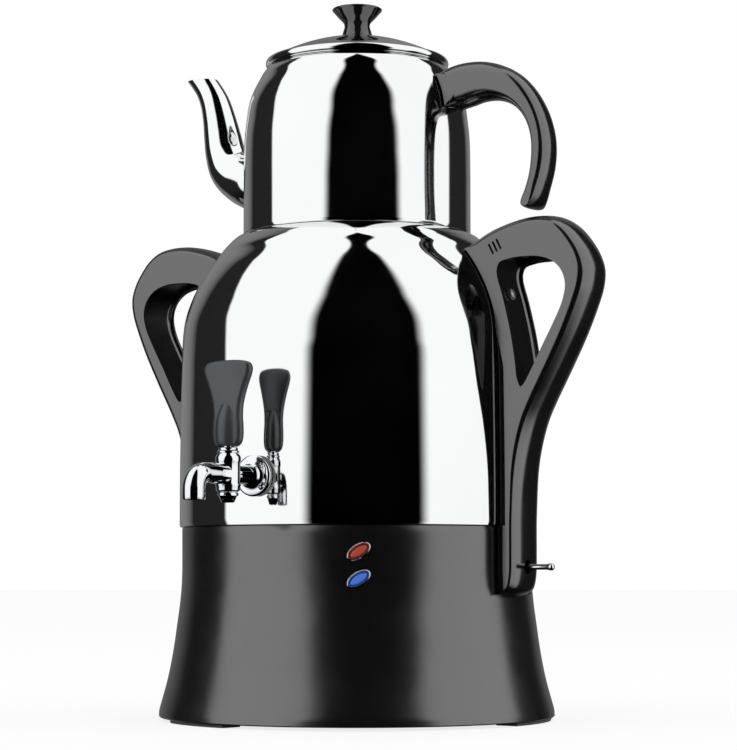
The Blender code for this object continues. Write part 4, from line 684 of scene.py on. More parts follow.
@dataclass
class Kettle:
    """The mirror-polished kettle with its welded bottom, seat ring and heating parts."""

    radius: float = 0.1127
    low: float = 0.1208
    height: float = 0.1863
    wall: float = 0.0010
    neck_shrink: float = 0.0009
    mouth_radius: float = 0.0653

    def profile(self) -> list[Pair]:
        """Outer profile from the rolled lower rim to the mouth, as a smooth curve."""
        shares = ((1.0, 0.1578), (0.9979, 0.3172), (0.9949, 0.4771), (0.9911, 0.5974),
                  (0.9789, 0.6928), (0.9513, 0.7531), (0.9065, 0.8165), (0.8511, 0.874),
                  (0.7845, 0.9275), (0.7607, 0.9475), (0.7334, 0.9659), (0.6922, 0.9891),
                  (0.6589, 1.0))
        rim = [(1.0, 0.012), (1.0, 0.07)]
        points = [(self.radius * r, self.low + self.height * z) for r, z in (*rim, *shares)]
        return curve(points, 8)

    def shell(self) -> Item:
        """The thin shell with its turned-in mouth."""
        outer = self.profile()
        rim = 0.0011
        start = [(self.radius - rim, self.low), (self.radius - rim * 0.3, self.low + rim * 0.3)]
        top = self.low + self.height - 0.0013
        neck = outer[-1][0] - self.neck_shrink
        lip, wall = self.mouth_radius, self.wall
        turned = [(neck + 0.0004, top + 0.0009), (neck, top), (lip + 0.0006, top),
                  (lip, top - 0.0006), (lip, top - 0.0044), (lip + wall, top - 0.0044),
                  (lip + wall, top - wall), (neck, top - wall)]
        inner = offset_profile(outer, wall)[4:-6:2][::-1]
        flange = [(self.radius - wall, self.low + wall), (0.1008, self.low + wall),
                  (0.1008, self.low)]
        item = mesh_object("kettle_skin", spin(start + outer + turned + inner + flange, 192, True),
                           25.0)
        pipe_hole, pipe_height = 0.0063, 0.1500
        hole = moved(rod(pipe_hole, -0.008, 0.008), wall_frame(0.0, self.radius, pipe_height))
        return combine(item, [hole], 25.0)

    def element(self) -> Item:
        """The heating tube: a ring with both cold ends turned down through the bottom."""
        radius, level = 0.0680, 0.1380
        opening = math.radians(28.0)
        tube, bend = 0.0035, 0.0077
        drop = bend / radius
        start = math.pi / 2.0 + opening / 2.0
        sweep = 2.0 * math.pi - opening
        heights = (0.1121, 0.1200, 0.1260, level - bend)

        def spot(angle: float, height: float) -> Vector:
            return Vector((math.cos(angle) * radius, math.sin(angle) * radius, height))

        path = [spot(start, h) for h in heights]
        path += [spot(start + drop + (sweep - 2.0 * drop) * i / 96, level) for i in range(97)]
        path += [spot(start + sweep, h) for h in reversed(heights)]
        path = catmull(path, 2)
        return mesh_object("heating_tube", skin(tube_rings(path, [tube] * len(path), 20)), 50.0)

    def build(self) -> None:
        """Make and dress every piece of the kettle."""
        dress(self.shell(), Finish.STEEL, ["kettle_shell"])
        dress(self.element(), Finish.ZINC, ["heating_element"])


@dataclass
class Slab:
    """A handle made from an outline: flat flanks, a crowned rim and a wall-following face."""

    width: float
    edge: float
    rim: float
    crown: float

    def offsets(self) -> list[float]:
        """Places across the handle of its lengthwise rows, closer together near the flanks."""
        half = self.width / 2.0
        right = [half * math.cos(math.radians(a)) for a in (0, 8, 16, 24, 32, 41, 51, 62, 75)]
        return [-o for o in right] + [0.0] + right[::-1]

    def drop(self, offset: float, reach: float) -> float:
        """How far a rounding of some reach has dropped at an offset, as a share of its depth."""
        over = max((abs(offset) - self.width / 2.0 + reach) / reach, 0.0)
        return 1.0 - math.sqrt(max(1.0 - over * over, 0.0))

    def mesh(self, free: Flat, seated: Flat, seat: Callable[[float], float],
             depth: Callable[[int], float], relief: Callable[[float], float],
             slot: Flat = ()) -> Solid:
        """Skin the handle.

        Args:
            free: The outline's free points, from its foot round to its top or the other way.
            seated: The points that lie on the wall, closing the outline.
            seat: The wall's radius at a height.
            depth: How far the rim's crown stands out past the flank at a free point.
            relief: How far the flank stands off the wall at a height.
            slot: The finger slot's outline, or nothing.

        Returns:
            The closed mesh.
        """
        outline = list(free) + list(seated)
        normals = outward(outline)
        slot_normals = outward(slot) if slot else []
        bm = bmesh.new()
        loops: list[list[list[bmesh.types.BMVert]]] = [[], []] if slot else [[]]
        for offset in self.offsets():
            near, far = self.drop(offset, self.edge), self.drop(offset, self.rim)
            ring = []
            for i, (reach, height) in enumerate(outline):
                if i < len(free):
                    spot = Vector((reach, height)) + normals[i] * (self.crown - depth(i) * far)
                    ring.append((spot.x, offset, spot.y))
                else:
                    touch = math.sqrt(max(seat(height) ** 2 - offset * offset, 0.0))
                    ring.append((touch + relief(height) * near, offset, height))
            loops[0].append([bm.verts.new(p) for p in ring])
            if slot:
                inset = self.edge * 0.85 * near
                loops[1].append([bm.verts.new((r + n.x * inset, offset, z + n.y * inset))
                                 for (r, z), n in zip(slot, slot_normals)])
        for loop in loops:
            strips(bm, loop)
        flat_caps(bm, loops)
        return bm

    @staticmethod
    def crisp_flanks(item: Item) -> Item:
        """Shade the flat flanks flat, right up to their borders."""
        bm = bmesh.new()
        bm.from_mesh(item.data)
        for border in bm.edges:
            if len({abs(face.normal.y) > 0.9999 for face in border.link_faces}) == 2:
                border.smooth = False
        bm.to_mesh(item.data)
        bm.free()
        return item


@dataclass
class SideHandles:
    """The two big loop handles with their screws, and the switch in the right one's foot."""

    foot: float = 0.0790
    height: float = 0.2301
    reach: float = 0.0598
    width: float = 0.0340
    edge: float = 0.0034
    crown: float = 0.0012
    crown_depth: float = 0.0066
    stem_depth: float = 0.0040
    relief: float = 0.0054
    wall_gap: float = 0.0004
    switch_z: float = 0.0957

    OUTLINE = ((-0.2997, 0.9476), (-0.1212, 0.9709), (0.121, 0.9901), (0.2991, 0.9982),
               (0.475, 0.9982), (0.62, 0.9901), (0.7478, 0.9689), (0.8555, 0.9375),
               (0.948, 0.899), (0.9988, 0.8566), (0.9844, 0.8101), (0.9236, 0.7627),
               (0.798, 0.6872), (0.663, 0.6188), (0.5432, 0.5616), (0.4368, 0.5115),
               (0.3403, 0.4624), (0.2682, 0.4084), (0.2166, 0.3515), (0.1866, 0.2916),
               (0.1674, 0.1971), (0.1651, 0.1077), (0.1578, 0.0482), (0.1217, 0.0125),
               (0.0589, 0.0))
    SLOT = ((0.1237, 0.901), (0.2917, 0.9041), (0.4791, 0.901), (0.6514, 0.8849),
            (0.7718, 0.8535), (0.8217, 0.8111), (0.7846, 0.7607), (0.6704, 0.7003),
            (0.5506, 0.645), (0.4259, 0.5847), (0.3116, 0.5395), (0.2377, 0.5335),
            (0.1765, 0.5586), (0.1444, 0.6168), (0.0913, 0.6973), (0.0144, 0.7799),
            (-0.0611, 0.8566), (-0.0139, 0.8889))

    def place(self, share: Pair) -> Pair:
        """Radius and height of a share of the handle."""
        return (0.1127 + self.reach * share[0], self.foot + self.height * share[1])

    def handle(self, name: str, side: float, base: Base, kettle: Kettle) -> Item:
        """One loop handle; side is +1 for the right one and -1 for the left one."""
        base_wall, kettle_wall = base.profile(), kettle.profile()

        def seat(height: float) -> float:
            if height < 0.1206:
                return radius_at(base_wall, height) + self.wall_gap
            return radius_at(kettle_wall, height) + self.wall_gap

        def relief(height: float) -> float:
            share = min(max((0.2401 - height) / 0.0230, 0.0), 1.0)
            return 0.0010 + (self.relief - 0.0010) * share

        free = curve([self.place(s) for s in self.OUTLINE], 4)[::-1]
        low, high = self.foot, self.foot + self.height * 0.925
        heights = sorted([low + (high - low) * k / 60.0 for k in range(61)] + [0.12055, 0.12065])
        seated = [(seat(z), z) for z in heights][::-1]
        slot = curve([self.place(s) for s in self.SLOT], 4, True)

        def depth(i: int) -> float:
            share = min(max(((free[i][1] - self.foot) / self.height - 0.26) / 0.26, 0.0), 1.0)
            return self.stem_depth + (self.crown_depth - self.stem_depth) * share

        slab = Slab(self.width, self.edge, self.width / 2.0, self.crown)
        bm = slab.mesh(free, seated, seat, depth, relief, slot)
        if side < 0.0:
            moved(bm, Matrix.Rotation(math.pi, 4, "Z"))
        return mesh_object(name, bm, 40.0)

    def marks(self) -> list[Solid]:
        """Three short slanted slots, 3 mm deep, for the right handle's front flank."""
        half_width, half_length, corner, pitch = 0.00072, 0.0037, 0.0007, 0.0030
        bottom, outside = 0.0142, 0.0186
        ring = fillet(corners(half_width, half_length), corner)
        turn = Matrix.Rotation(math.radians(-27.0), 4, "Y") @ Matrix.Rotation(math.pi / 2.0, 4, "X")
        place = Matrix.Translation((0.1108, 0.0, 0.2914)) @ turn
        return [moved(prism([(x + pitch * k, y) for x, y in ring], bottom, outside), place)
                for k in (-1, 0, 1)]

    def build(self, base: Base, kettle: Kettle) -> None:
        """Make and dress the handles and the switch."""
        right = self.handle("right_loop", 1.0, base, kettle)
        hole = moved(rod(0.0044, -0.003, 0.012, 40, 0.0047),
                     wall_frame(math.pi / 2.0, 0.1174, self.switch_z))
        pocket = block((0.10749, 0.0, self.switch_z), (0.0203, 0.0131, 0.0191))
        combine(right, [hole, pocket, *self.marks()], 40.0)
        dress(Slab.crisp_flanks(right), Finish.HANDLE_PLASTIC, ["right_handle"])
        left = self.handle("left_loop", -1.0, base, kettle)
        dress(Slab.crisp_flanks(left), Finish.HANDLE_PLASTIC, ["left_handle"])
        dress(self.lever(), Finish.CHROME, ["switch_lever"], Body.SWITCH_TOGGLE)

    def lever(self) -> Item:
        """The toggle pin with its ball pivot and rounded knob end."""
        ball, pin, tip, end = 0.0026, 0.00175, 0.0022, 0.0260
        profile = [(0.0, -ball)]
        profile += [(ball * math.sin(a), ball * math.cos(a))
                    for a in (math.radians(170.0 - 10.0 * k) for k in range(13))]
        profile += [(pin, 0.0024), (pin, end - 2.2 * tip), (pin * 1.05, end - 2.0 * tip),
                    (tip * 0.94, end - 1.5 * tip), (tip, end - 1.1 * tip), (tip, end - 0.7 * tip),
                    (tip * 0.85, end - 0.28 * tip), (tip * 0.5, end - 0.06 * tip), (0.0, end)]
        bm = moved(spin(profile, 40), Matrix.Translation((0.115553, 0.0, self.switch_z))
                   @ Matrix.Rotation(math.pi / 2.0, 4, "Y"))
        return mesh_object("toggle_pin", bm, 50.0)


@dataclass
class Tap:
    """The chrome plug cock with its black paddle grip."""

    wall: float = 0.1127
    height: float = 0.1500
    reach: float = 0.0286
    pipe: float = 0.0060
    valve: float = 0.0072
    above: float = 0.0120
    below: float = 0.0105
    grip_low: float = 0.0160
    grip_height: float = 0.0515
    grip_width: float = 0.0340
    grip_thick: float = 0.0064
    bore: float = 0.0034

    GRIP = ((0.36, 0.0), (0.52, 0.035), (0.60, 0.12), (0.60, 0.24), (0.575, 0.36), (0.60, 0.48),
            (0.69, 0.60), (0.83, 0.73), (0.96, 0.84), (0.985, 0.91), (0.88, 0.965), (0.60, 0.99),
            (0.25, 1.0))

    @property
    def centre(self) -> Vector:
        """The valve's middle."""
        return Vector((0.0, -(self.wall + self.reach), self.height))

    def upright(self, bm: Solid) -> Solid:
        """Move a mesh from the origin to the valve's middle."""
        return moved(bm, Matrix.Translation(self.centre))

    def level(self, bm: Solid) -> Solid:
        """Lay a mesh's Z axis along the pipe, measured from the kettle's axis."""
        return moved(bm, wall_frame(0.0, 0.0, self.height))

    def cock(self) -> Item:
        """Pipe with flange, valve barrel and bent spout, joined as one casting."""
        wall, pipe = self.wall, self.pipe
        flange = wall + 0.0021
        valve = wall + self.reach
        profile = [(0.0, wall - 0.012), (pipe - 0.0004, wall - 0.012), (pipe, wall - 0.0116),
                   (pipe, flange), (0.0125, flange), (0.0125, flange + 0.0009),
                   (0.0121, flange + 0.0015), (0.0112, flange + 0.0019), (0.0090, flange + 0.0022),
                   (0.0075, flange + 0.0026), (0.0066, flange + 0.0034), (0.0061, flange + 0.0046),
                   (pipe, flange + 0.0060), (pipe, valve - 0.0021), (0.0, valve - 0.0021)]
        item = mesh_object("tap_cock", self.level(spin(profile, 64)), 40.0)
        radius, low, high = self.valve, -self.below, self.above
        barrel = [(0.0, low), (radius * 0.86, low), (radius * 0.95, low + 0.0004),
                  (radius, low + 0.0012), (radius, -0.0075), (radius * 1.05, -0.0068),
                  (radius * 1.05, -0.0060), (radius, -0.0053), (radius, high - 0.0052),
                  (radius * 1.05, high - 0.0046), (radius * 1.05, high - 0.0020),
                  (radius, high - 0.0012), (radius * 0.9, high), (0.0, high)]
        end = self.centre.y - 0.0340
        bend = 0.0095
        route = [Vector((0.0, self.centre.y - 0.0021, self.height)),
                 Vector((0.0, self.centre.y - 0.0140, self.height))]
        route += [Vector((0.0, end + bend - bend * math.sin(a),
                          self.height - bend + bend * math.cos(a)))
                  for a in (math.pi / 2.0 * k / 20 for k in range(21))]
        route += [Vector((0.0, end, self.height - h)) for h in (0.0125, 0.0156, 0.0160)]
        radii = [0.0062] * 2 + [0.0062 + 0.0005 * k / 20 for k in range(21)]
        radii += [0.0067, 0.0067, 0.0064]
        inner_radii = [self.bore + 0.0018 * min(k / 12, 1.0) for k in range(len(route))]
        across = Vector((1, 0, 0))
        inner = route[:-1] + [route[-1] - Vector((0, 0, 0.001))]
        joins = [self.upright(spin(barrel, 64)), skin(tube_rings(route, radii, 48, across))]
        cuts = [skin(tube_rings(inner, inner_radii, 32, across)),
                self.level(rod(self.bore, wall - 0.014, valve - 0.0021, 32)),
                self.upright(rod(0.0043, low - 0.002, high + 0.002, 48, 0.0057))]
        return combine(item, cuts, 40.0, joins)

    def plug(self) -> Item:
        """The tapered plug with its bright collar and stem."""
        low, high = -self.below, self.above
        tail = 0.0021
        collar = high + 0.0003
        profile = [(0.0, low - 0.003), (tail, low - 0.003), (tail, low), (0.0042, low),
                   (0.0052, high), (0.0052, collar), (0.0062, collar), (0.0066, collar + 0.0004),
                   (0.0066, collar + 0.0012), (0.0060, collar + 0.0017), (0.0057, collar + 0.0026),
                   (0.0058, self.grip_low - 0.0006), (0.0056, self.grip_low - 0.0003),
                   (0.0032, self.grip_low - 0.0003), (0.0032, 0.0242), (0.0, 0.0242)]
        item = mesh_object("tap_spindle", self.upright(spin(profile, 48)), 40.0)
        port = moved(rod(0.00255, -0.0072, 0.0072, 32), Matrix.Rotation(math.pi / 2.0, 4, "Y"))
        return combine(item, [self.upright(port)], 40.0)

    def cap(self) -> Item:
        """The tapered cap nut under the valve, with a turned groove."""
        high = -self.below - 0.0003
        low = high - 0.0060
        well = -self.below - 0.0033
        profile = [(0.0, low), (0.0034, low), (0.0041, low + 0.0005), (0.0046, low + 0.0018),
                   (0.0055, low + 0.0036), (0.0062, low + 0.0041), (0.0062, high - 0.0004),
                   (0.0059, high), (0.0024, high), (0.0024, well), (0.0, well)]
        return mesh_object("tap_cap", self.upright(spin(profile, 48)), 40.0)

    def grip(self) -> Item:
        """The paddle: a flared plate with soft edges and a pointed hub round the stem."""
        half = self.grip_width / 2.0
        right = [(half * x, self.grip_low + self.grip_height * z) for x, z in self.GRIP]
        side = curve(right, 5)
        outline = side + [(-x, z) for x, z in reversed(side)]
        normals = outward(outline)
        thick = self.grip_thick / 2.0
        edge = thick * 0.92
        arc = [math.pi / 2.0 * k / 7 for k in range(8)]
        steps = [(edge - thick - edge * math.sin(a), edge * (1.0 - math.cos(a)))
                 for a in reversed(arc)]
        steps += [(-d, s) for d, s in reversed(steps)]
        rings = [[(x - n.x * inset, depth, z - n.y * inset)
                  for (x, z), n in zip(outline, normals)] for depth, inset in steps]
        plate = bmesh.new()
        rows = [[plate.verts.new(p) for p in ring] for ring in rings]
        strips(plate, rows)
        flat_caps(plate, [rows])
        item = mesh_object("paddle_grip", self.upright(plate), 50.0)
        low = self.grip_low + 0.0004
        shares = catmull([(0.66, 0.0), (0.90, 0.02), (1.0, 0.10), (1.0, 0.20), (0.93, 0.30),
                          (0.74, 0.40), (0.45, 0.48), (0.12, 0.54)], 6)
        hub = [(0.0, low)] + [(0.0080 * p.x, low + self.grip_height * p.y) for p in shares]
        hub.append((0.0, low + self.grip_height * 0.546))
        well = self.upright(rod(0.0035, 0.012, 0.0246, 32))
        return combine(item, [well], 50.0, [self.upright(spin(hub, 64))])

    def lock_nut(self) -> Item:
        """The hexagon lock nut inside the kettle's wall, its corners turned off."""
        low, high = 0.1048, 0.1098
        corner = 0.0104
        ring = [(corner * math.cos(a), corner * math.sin(a)) for a in around(6)]
        nut = self.level(prism(fillet(ring, 0.0008, 3), low, high))
        bore = self.level(rod(0.0063, low - 0.001, high + 0.001))
        return combine(mesh_object("tap_back_nut", nut), [bore])

    def build(self) -> None:
        """Make and dress the tap."""
        dress(self.cock(), Finish.CHROME, ["tap_body"])
        dress(self.lock_nut(), Finish.CHROME, ["tap_lock_nut"])
        dress(self.plug(), Finish.CHROME, ["tap_plug"], Body.TAP_HANDLE)
        dress(self.cap(), Finish.CHROME, ["tap_bottom_nut"], Body.TAP_HANDLE)
        dress(self.grip(), Finish.GRIP_PLASTIC, ["tap_grip"], Body.TAP_HANDLE)


@dataclass
class Teapot:
    """The steel teapot with its gooseneck spout and black hook handle."""

    radius: float = 0.0730
    low: float = 0.3075
    height: float = 0.1092
    wall: float = 0.0009
    hook_width: float = 0.0220
    hook_reach: float = 0.0691

    HOOK = ((-0.0704, 0.9243), (0.0589, 0.9434), (0.2042, 0.9484), (0.3545, 0.9384),
            (0.4945, 0.9103), (0.6323, 0.8661), (0.7548, 0.8009), (0.8571, 0.7148),
            (0.9361, 0.6147), (0.9859, 0.5057), (1.0, 0.4038), (0.9815, 0.2941), (0.9354, 0.1945),
            (0.8755, 0.1049), (0.8303, 0.0801), (0.7884, 0.0751), (0.7436, 0.088),
            (0.7409, 0.1149), (0.7806, 0.1895), (0.8185, 0.2742), (0.8365, 0.3739),
            (0.8325, 0.4637), (0.7914, 0.5537), (0.7091, 0.632), (0.5975, 0.6867),
            (0.4526, 0.7177), (0.3075, 0.7197), (0.1823, 0.7027), (0.0721, 0.6897))
    HOOK_OUTER = 15
    SPOUT = ((-0.0952, 0.3849, 0.1956), (0.1084, 0.3899, 0.1818), (0.3333, 0.4228, 0.1586),
             (0.5167, 0.4837, 0.1399), (0.6157, 0.5737, 0.1242), (0.6699, 0.6777, 0.1148),
             (0.7243, 0.7909, 0.102), (0.7977, 0.9003, 0.0907), (0.903, 0.9896, 0.0805),
             (1.0242, 1.061, 0.0759), (1.1171, 1.1093, 0.0749))

    def profile(self) -> list[Pair]:
        """Outer profile above the seat, as a smooth curve."""
        shares = ((1.0, 0.0), (1.0, 0.1995), (0.9998, 0.3988), (0.9945, 0.5737),
                  (0.981, 0.6687), (0.958, 0.7739), (0.9205, 0.8491), (0.866, 0.9213),
                  (0.8385, 0.956), (0.806, 0.985), (0.785, 1.0))
        points = [(self.radius * r, self.low + self.height * z) for r, z in shares]
        return curve(points, 8)

    def body(self, repeater: Repeater) -> Item:
        """The pot's body with its stepped foot and strainer holes."""
        outer = self.profile()
        low = self.low - 0.0080
        foot = [(0.0, low), (0.0573, low), (0.0588, low + 0.0003), (0.0600, low + 0.0013),
                (0.0603, low + 0.0028), (0.0603, self.low - 0.0008), (0.0605, self.low),
                (self.radius - 0.0010, self.low), (self.radius - 0.0003, self.low + 0.0003)]
        outer[0] = (self.radius, self.low + 0.0010)
        inner = offset_profile(outer, self.wall)[2:-1][::-1]
        inner.insert(0, (outer[-1][0] - self.wall, outer[-1][1]))
        floor = [(self.radius - self.wall, self.low + self.wall),
                 (0.0595, self.low + self.wall), (0.0594, low + 0.0030), (0.0585, low + 0.0012),
                 (0.0571, low + self.wall), (0.0, low + self.wall)]
        item = mesh_object("pot_skin", spin(foot + outer + inner + floor, 176), 25.0)
        ring_radius = 0.0064
        ring = repeater.repeat("strainer_ring", self.strainer_hole(), Finish.STEEL, 6, ring_radius)
        holes = taken(ring)
        middle = bpy.data.meshes.new("strainer_middle")
        self.strainer_hole().to_mesh(middle)
        holes.from_mesh(middle)
        moved(holes, wall_frame(-math.pi / 2.0, self.radius, self.low + self.height * 0.40))
        return combine(item, [holes], 25.0)

    @staticmethod
    def strainer_hole() -> Solid:
        """The rod that cuts one strainer hole."""
        return rod(0.0021, -0.006, 0.006, 20)

    def spout(self) -> Item:
        """The gooseneck: a hollow tapering tube, trimmed to the pot and cut level at its lip."""
        path = catmull([(-(self.radius + 0.0500 * out), 0.0, self.low + self.height * up)
                        for out, up, _ in self.SPOUT], 6)
        radii = [p.x * self.height for p in catmull([(r, 0.0) for _, _, r in self.SPOUT], 6)]
        across = Vector((0, 1, 0))
        outer = tube_rings(path, radii, 56, across)
        inner = tube_rings(path, [r - 0.0010 for r in radii], 56, across)
        item = mesh_object("pot_gooseneck", skin(outer + inner[::-1], True), 40.0)
        level = self.low + self.height * 1.052
        above = block((-0.16, 0.0, level + 0.1), (0.2, 0.2, 0.2))
        trim = [(0.0, self.low)] + [(r + 0.0002, z) for r, z in self.profile()]
        trim.append((0.0, self.low + self.height))
        return combine(item, [above, spin(trim, 176)], 30.0)

    def handle(self) -> Item:
        """The open hook handle, well rounded on the inside and flatter on top."""
        wall = self.profile()

        def seat(height: float) -> float:
            return radius_at(wall, height) + 0.0004

        points = [(self.radius + self.hook_reach * x, self.low + self.height * z)
                  for x, z in self.HOOK][::-1]
        turn = len(points) - self.HOOK_OUTER
        thick = []
        for i, here in enumerate(points):
            other = points[turn:] if i < turn else points[:turn]
            gap = min((Vector(here) - Vector(p)).length for p in other)
            thick.append(min(gap * (0.36 if i < turn else 0.42), self.hook_width * 0.42))
        free = curve(points, 5)
        edges = [p.x for p in catmull([(t, 0.0) for t in thick], 5)]
        low, high = self.low + self.height * 0.697, self.low + self.height * 0.894
        seated = [(seat(z), z) for z in (low + (high - low) * k / 24.0 for k in range(25))][::-1]
        slab = Slab(self.hook_width, self.hook_width * 0.3, self.hook_width * 0.5, 0.0005)
        bm = slab.mesh(free, seated, seat, lambda i: edges[i] if i < len(edges) else edges[-1],
                       lambda z: 0.0011)
        return Slab.crisp_flanks(mesh_object("hook_handle", bm, 50.0))

    def build(self, repeater: Repeater) -> None:
        """Make and dress the teapot."""
        dress(self.body(repeater), Finish.STEEL, ["pot_body"], Body.TEAPOT)
        dress(self.spout(), Finish.STEEL, ["pot_spout"], Body.TEAPOT)
        dress(self.handle(), Finish.HANDLE_PLASTIC, ["pot_handle"], Body.TEAPOT)


@dataclass
class Lid:
    """The domed steel lid with its rolled rim and black trumpet knob."""

    radius: float = 0.0591
    low: float = 0.4170
    dome_radius: float = 0.1041
    bead: float = 0.0052
    knob_radius: float = 0.0161
    knob_height: float = 0.0195

    @property
    def apex(self) -> float:
        """Height of the dome's top."""
        edge = self.radius - 0.0034
        return self.low + self.bead + edge * edge / (2.0 * self.dome_radius)

    def cover(self) -> Item:
        """The dome, its rolled bead and the collar that fits in the pot's mouth."""
        edge = self.radius - 0.0034
        hole, wall = 0.0021, 0.0009

        def dome(radius: float) -> float:
            return self.apex - radius * radius / (2.0 * self.dome_radius)

        radii = [hole + (edge - 0.0006 - hole) * k / 28.0 for k in range(29)]
        upper = [(r, dome(r)) for r in radii]
        centre = (self.radius - 0.0020, self.low + 0.0026)
        roll = [(centre[0] + 0.0020 * math.cos(a), centre[1] + 0.0026 * math.sin(a))
                for a in (math.radians(128.0 - 14.0 * k) for k in range(16))]
        collar = 0.0552
        rim = [(collar + 0.0004, self.low), (collar, self.low - 0.0004),
               (collar, self.low - 0.0042), (collar - 0.0003, self.low - 0.0044),
               (collar - wall, self.low - 0.0044), (collar - wall, self.low + 0.0016)]
        lower = [(r, dome(r) - wall) for r in reversed(radii[:-1])]
        return mesh_object("lid_cover", spin(upper + roll + rim + lower, 176, True), 30.0)

    def knob(self) -> Item:
        """The trumpet knob, waisted above its foot."""
        shares = ((0.62, 0.0), (0.64, 0.02), (0.60, 0.10), (0.55, 0.24), (0.51, 0.38),
                  (0.535, 0.48), (0.62, 0.57), (0.73, 0.66), (0.835, 0.76), (0.93, 0.85),
                  (0.995, 0.91), (1.0, 0.93), (0.985, 0.955), (0.93, 0.975), (0.70, 0.99),
                  (0.35, 0.998), (0.02, 1.0))
        low = self.apex + 0.0003
        curve = [(p.x * self.knob_radius, low + self.knob_height * p.y) for p in catmull(shares, 5)]
        well = [(0.0, low + 0.0103), (0.0021, low + 0.0103), (0.0021, low)]
        profile = well + curve[:-1] + [(0.0, low + self.knob_height)]
        return mesh_object("trumpet_knob", spin(profile, 96), 50.0)

    def build(self) -> None:
        """Make and dress the lid."""
        dress(self.cover(), Finish.STEEL, ["pot_lid"], Body.TEAPOT_LID)
        dress(self.knob(), Finish.KNOB_PLASTIC, ["lid_knob"], Body.TEAPOT_LID)


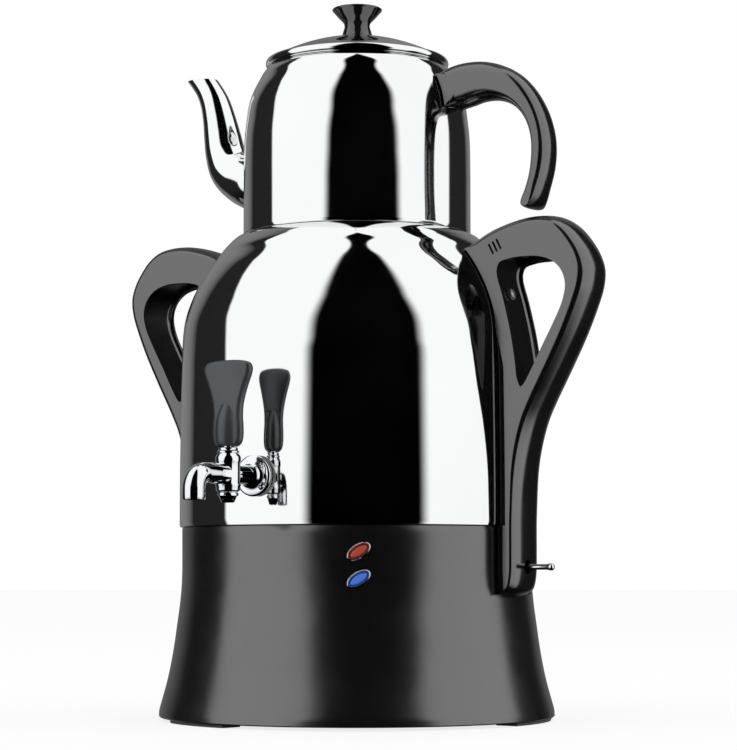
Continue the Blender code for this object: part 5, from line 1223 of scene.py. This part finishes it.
@dataclass
class Studio:
    """Floor, world, lamps and the camera at the photograph's viewing angle."""

    azimuth: float = math.radians(32.5)
    distance: float = 1.551
    eye: float = 0.0917
    focal_pixels: float = 2430.0
    horizon_row: float = 573.5
    axis_column: float = 357.0
    frame_size: tuple[int, int] = (737, 750)
    tent_turn: float = math.radians(5.6)
    tent_white: float = 1.15
    fill: float = 0.95
    floor_glow: float = 0.8
    floor_radius: float = 12.0

    GAP = ((0.0, 36.0), (8.0, 35.0), (11.0, 33.0), (22.0, 31.0), (40.0, 29.5), (60.0, 28.5),
           (76.0, 28.5), (90.0, 28.5))
    SIDES = ((0.0, 98.0), (14.0, 102.0), (22.0, 104.0), (30.0, 107.5), (36.0, 112.5),
             (42.0, 119.0), (47.0, 125.0), (50.0, 130.0), (58.0, 142.0), (70.0, 165.0),
             (80.0, 179.0), (90.0, 180.0))
    BACK = ((0.0, 0.02), (136.5, 0.015), (139.0, 0.06), (145.0, 0.14), (152.0, 0.18),
            (165.0, 0.2), (180.0, 0.14))

    @property
    def towards(self) -> Vector:
        """Level direction from the samovar's axis to the camera."""
        return Vector((math.sin(self.azimuth), -math.cos(self.azimuth), 0.0))

    def camera(self) -> None:
        """Set the camera, pitched so that the eye's height falls on its row."""
        data = bpy.data.cameras.new("studio_camera")
        data.sensor_width = 36.0
        data.lens = self.focal_pixels / max(self.frame_size) * data.sensor_width
        item = linked("studio_camera", data)
        pitch = math.atan((self.horizon_row - self.frame_size[1] / 2.0) / self.focal_pixels)
        yaw = math.atan((self.frame_size[0] / 2.0 - self.axis_column) / self.focal_pixels)
        item.location = self.towards * self.distance + Vector((0.0, 0.0, self.eye))
        item.rotation_euler = (math.pi / 2.0 + pitch, 0.0, self.azimuth - yaw)
        bpy.context.scene.camera = item

    def floor(self) -> None:
        """A wide white floor that shows the samovar's shadow."""
        bm = bmesh.new()
        bmesh.ops.create_circle(bm, cap_ends=True, segments=96, radius=self.floor_radius)
        mesh = bpy.data.meshes.new("studio_floor")
        bm.to_mesh(mesh)
        bm.free()
        item = linked("studio_floor", mesh)
        material = bpy.data.materials.new("white_sweep")
        material.use_nodes = True
        tree = material.node_tree
        shader = tree.nodes["Principled BSDF"]
        for key, value in (("Base Color", (0.92, 0.92, 0.92, 1.0)), ("Roughness", 0.9),
                           ("Specular IOR Level", 0.1)):
            shader.inputs[key].default_value = value
        seen = add(tree, "ShaderNodeLightPath").outputs["Is Camera Ray"]
        blend = add(tree, "ShaderNodeMixShader", {
            "Fac": maths(tree, "MULTIPLY", seen, self.floor_glow), 1: shader.outputs["BSDF"],
            2: add(tree, "ShaderNodeEmission").outputs["Emission"]})
        tree.links.new(blend.outputs["Shader"], tree.nodes["Material Output"].inputs["Surface"])
        mesh.materials.append(material)
        item.visible_glossy = False

    def world(self) -> None:
        """White all round for the eye; in reflections, the dark gap and back of a light tent."""
        world = bpy.data.worlds.new("light_tent")
        bpy.context.scene.world = world
        world.use_nodes = True
        tree = world.node_tree
        tree.nodes.clear()

        def stepped(source: Socket, stops: Flat) -> Socket:
            made = add(tree, "ShaderNodeValToRGB", {"Fac": source})
            elements = made.color_ramp.elements
            elements[0].position, elements[1].position = stops[0][0], stops[-1][0]
            for place, value in stops[1:-1]:
                elements.new(place)
            for element, (_, value) in zip(elements, stops):
                element.color = (value, value, value, 1.0)
            return made.outputs["Color"]

        def smooth(source: Socket, start: float, end: float) -> Socket:
            return add(tree, "ShaderNodeMapRange",
                       {"Value": source, "From Min": start, "From Max": end},
                       interpolation_type="SMOOTHSTEP").outputs["Result"]

        direction = add(tree, "ShaderNodeTexCoord").outputs["Generated"]

        def along(axis: Vector) -> Socket:
            return add(tree, "ShaderNodeVectorMath", {0: direction, 1: axis},
                       operation="DOT_PRODUCT").outputs["Value"]

        calc = partial(maths, tree)
        facing = self.azimuth + self.tent_turn
        front = Vector((math.sin(facing), -math.cos(facing), 0.0))
        side = Vector((math.cos(facing), math.sin(facing), 0.0))
        aside = calc("DIVIDE", calc("ABSOLUTE", calc("ARCTAN2", along(side), along(front))),
                      math.pi)
        rise = calc("DIVIDE", calc("ARCSINE", along(Vector((0, 0, 1)))), math.pi / 2.0)
        height = calc("MAXIMUM", rise, 0.0)
        gap = stepped(height, [(z / 90.0, a / 180.0) for z, a in self.GAP])
        ends = stepped(height, [(z / 90.0, a / 180.0) for z, a in self.SIDES])
        back = stepped(aside, [(a / 180.0, tone) for a, tone in self.BACK])
        soft = 1.0 / 180.0
        open_side = smooth(calc("SUBTRACT", aside, gap), -2.0 * soft, 7.0 * soft)
        closed = smooth(calc("SUBTRACT", ends, aside), -1.5 * soft, 1.5 * soft)
        above = smooth(rise, -40.0 / 90.0, -14.0 / 90.0)
        cloth = calc("MULTIPLY", calc("MAXIMUM", closed, back), calc("MULTIPLY", open_side, above))
        path = add(tree, "ShaderNodeLightPath").outputs
        glossy = calc("MAXIMUM", path["Is Glossy Ray"], path["Is Transmission Ray"])
        plain = calc("MULTIPLY_ADD", path["Is Camera Ray"], 1.0 - self.fill, self.fill)
        mixed = add(tree, "ShaderNodeMix",
                    {0: glossy, 2: plain, 3: calc("MULTIPLY", cloth, self.tent_white)})
        light = add(tree, "ShaderNodeBackground",
                    {"Strength": mixed.outputs[0], "Color": (1.0, 1.0, 1.0, 1.0)})
        add(tree, "ShaderNodeOutputWorld", {"Surface": light.outputs[0]})

    def lamp(self, name: str, azimuth: float, distance: float, height: float,
             size: Pair, watts: float) -> None:
        """Add a soft box that faces the samovar.

        Args:
            name: The lamp's name.
            azimuth: Degrees from the camera's side, positive to the right of the picture.
            distance: Distance from the axis.
            height: Height of its middle.
            size: Width and height.
            watts: Its power.
        """
        data = bpy.data.lights.new(name, "AREA")
        data.shape = "RECTANGLE"
        data.size, data.size_y = size
        data.energy = watts
        item = linked(name, data)
        item.visible_glossy = False
        turn = self.azimuth + math.radians(azimuth)
        out = Vector((math.sin(turn), -math.cos(turn), 0.0))
        item.location = out * distance + Vector((0.0, 0.0, height))
        look = Vector((0.0, 0.0, 0.22)) - item.location
        item.rotation_euler = look.to_track_quat("-Z", "Y").to_euler()

    def build(self) -> None:
        """Set the whole studio."""
        bpy.context.scene.view_settings.view_transform = "Standard"
        self.floor()
        self.world()
        self.lamp("left_soft_box", -68.0, 2.2, 1.1, (1.7, 2.4), 14.0)
        self.lamp("right_soft_box", 80.0, 2.2, 1.1, (1.7, 2.4), 14.0)
        self.camera()


def main(frame: dict) -> None:
    """Build the samovar on its frame, then the studio.
    """
    logging.basicConfig(level=logging.INFO, format="%(name)s: %(message)s")
    repeater = Repeater("repeat_in_ring")
    base, kettle = Base(), Kettle()
    base.build(repeater)
    kettle.build()
    SideHandles().build(base, kettle)
    Tap().build()
    Teapot().build(repeater)
    Lid().build()
    dress_kept_nodes(frame)
    Studio().build()


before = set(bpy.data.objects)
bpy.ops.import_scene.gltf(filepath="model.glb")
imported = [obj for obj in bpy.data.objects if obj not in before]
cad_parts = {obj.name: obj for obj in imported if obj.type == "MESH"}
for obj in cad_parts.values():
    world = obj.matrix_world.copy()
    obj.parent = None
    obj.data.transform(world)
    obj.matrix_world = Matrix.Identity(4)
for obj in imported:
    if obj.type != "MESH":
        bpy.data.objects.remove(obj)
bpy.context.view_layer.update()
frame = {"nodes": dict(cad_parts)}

if __name__ == "__main__":
    main(frame)
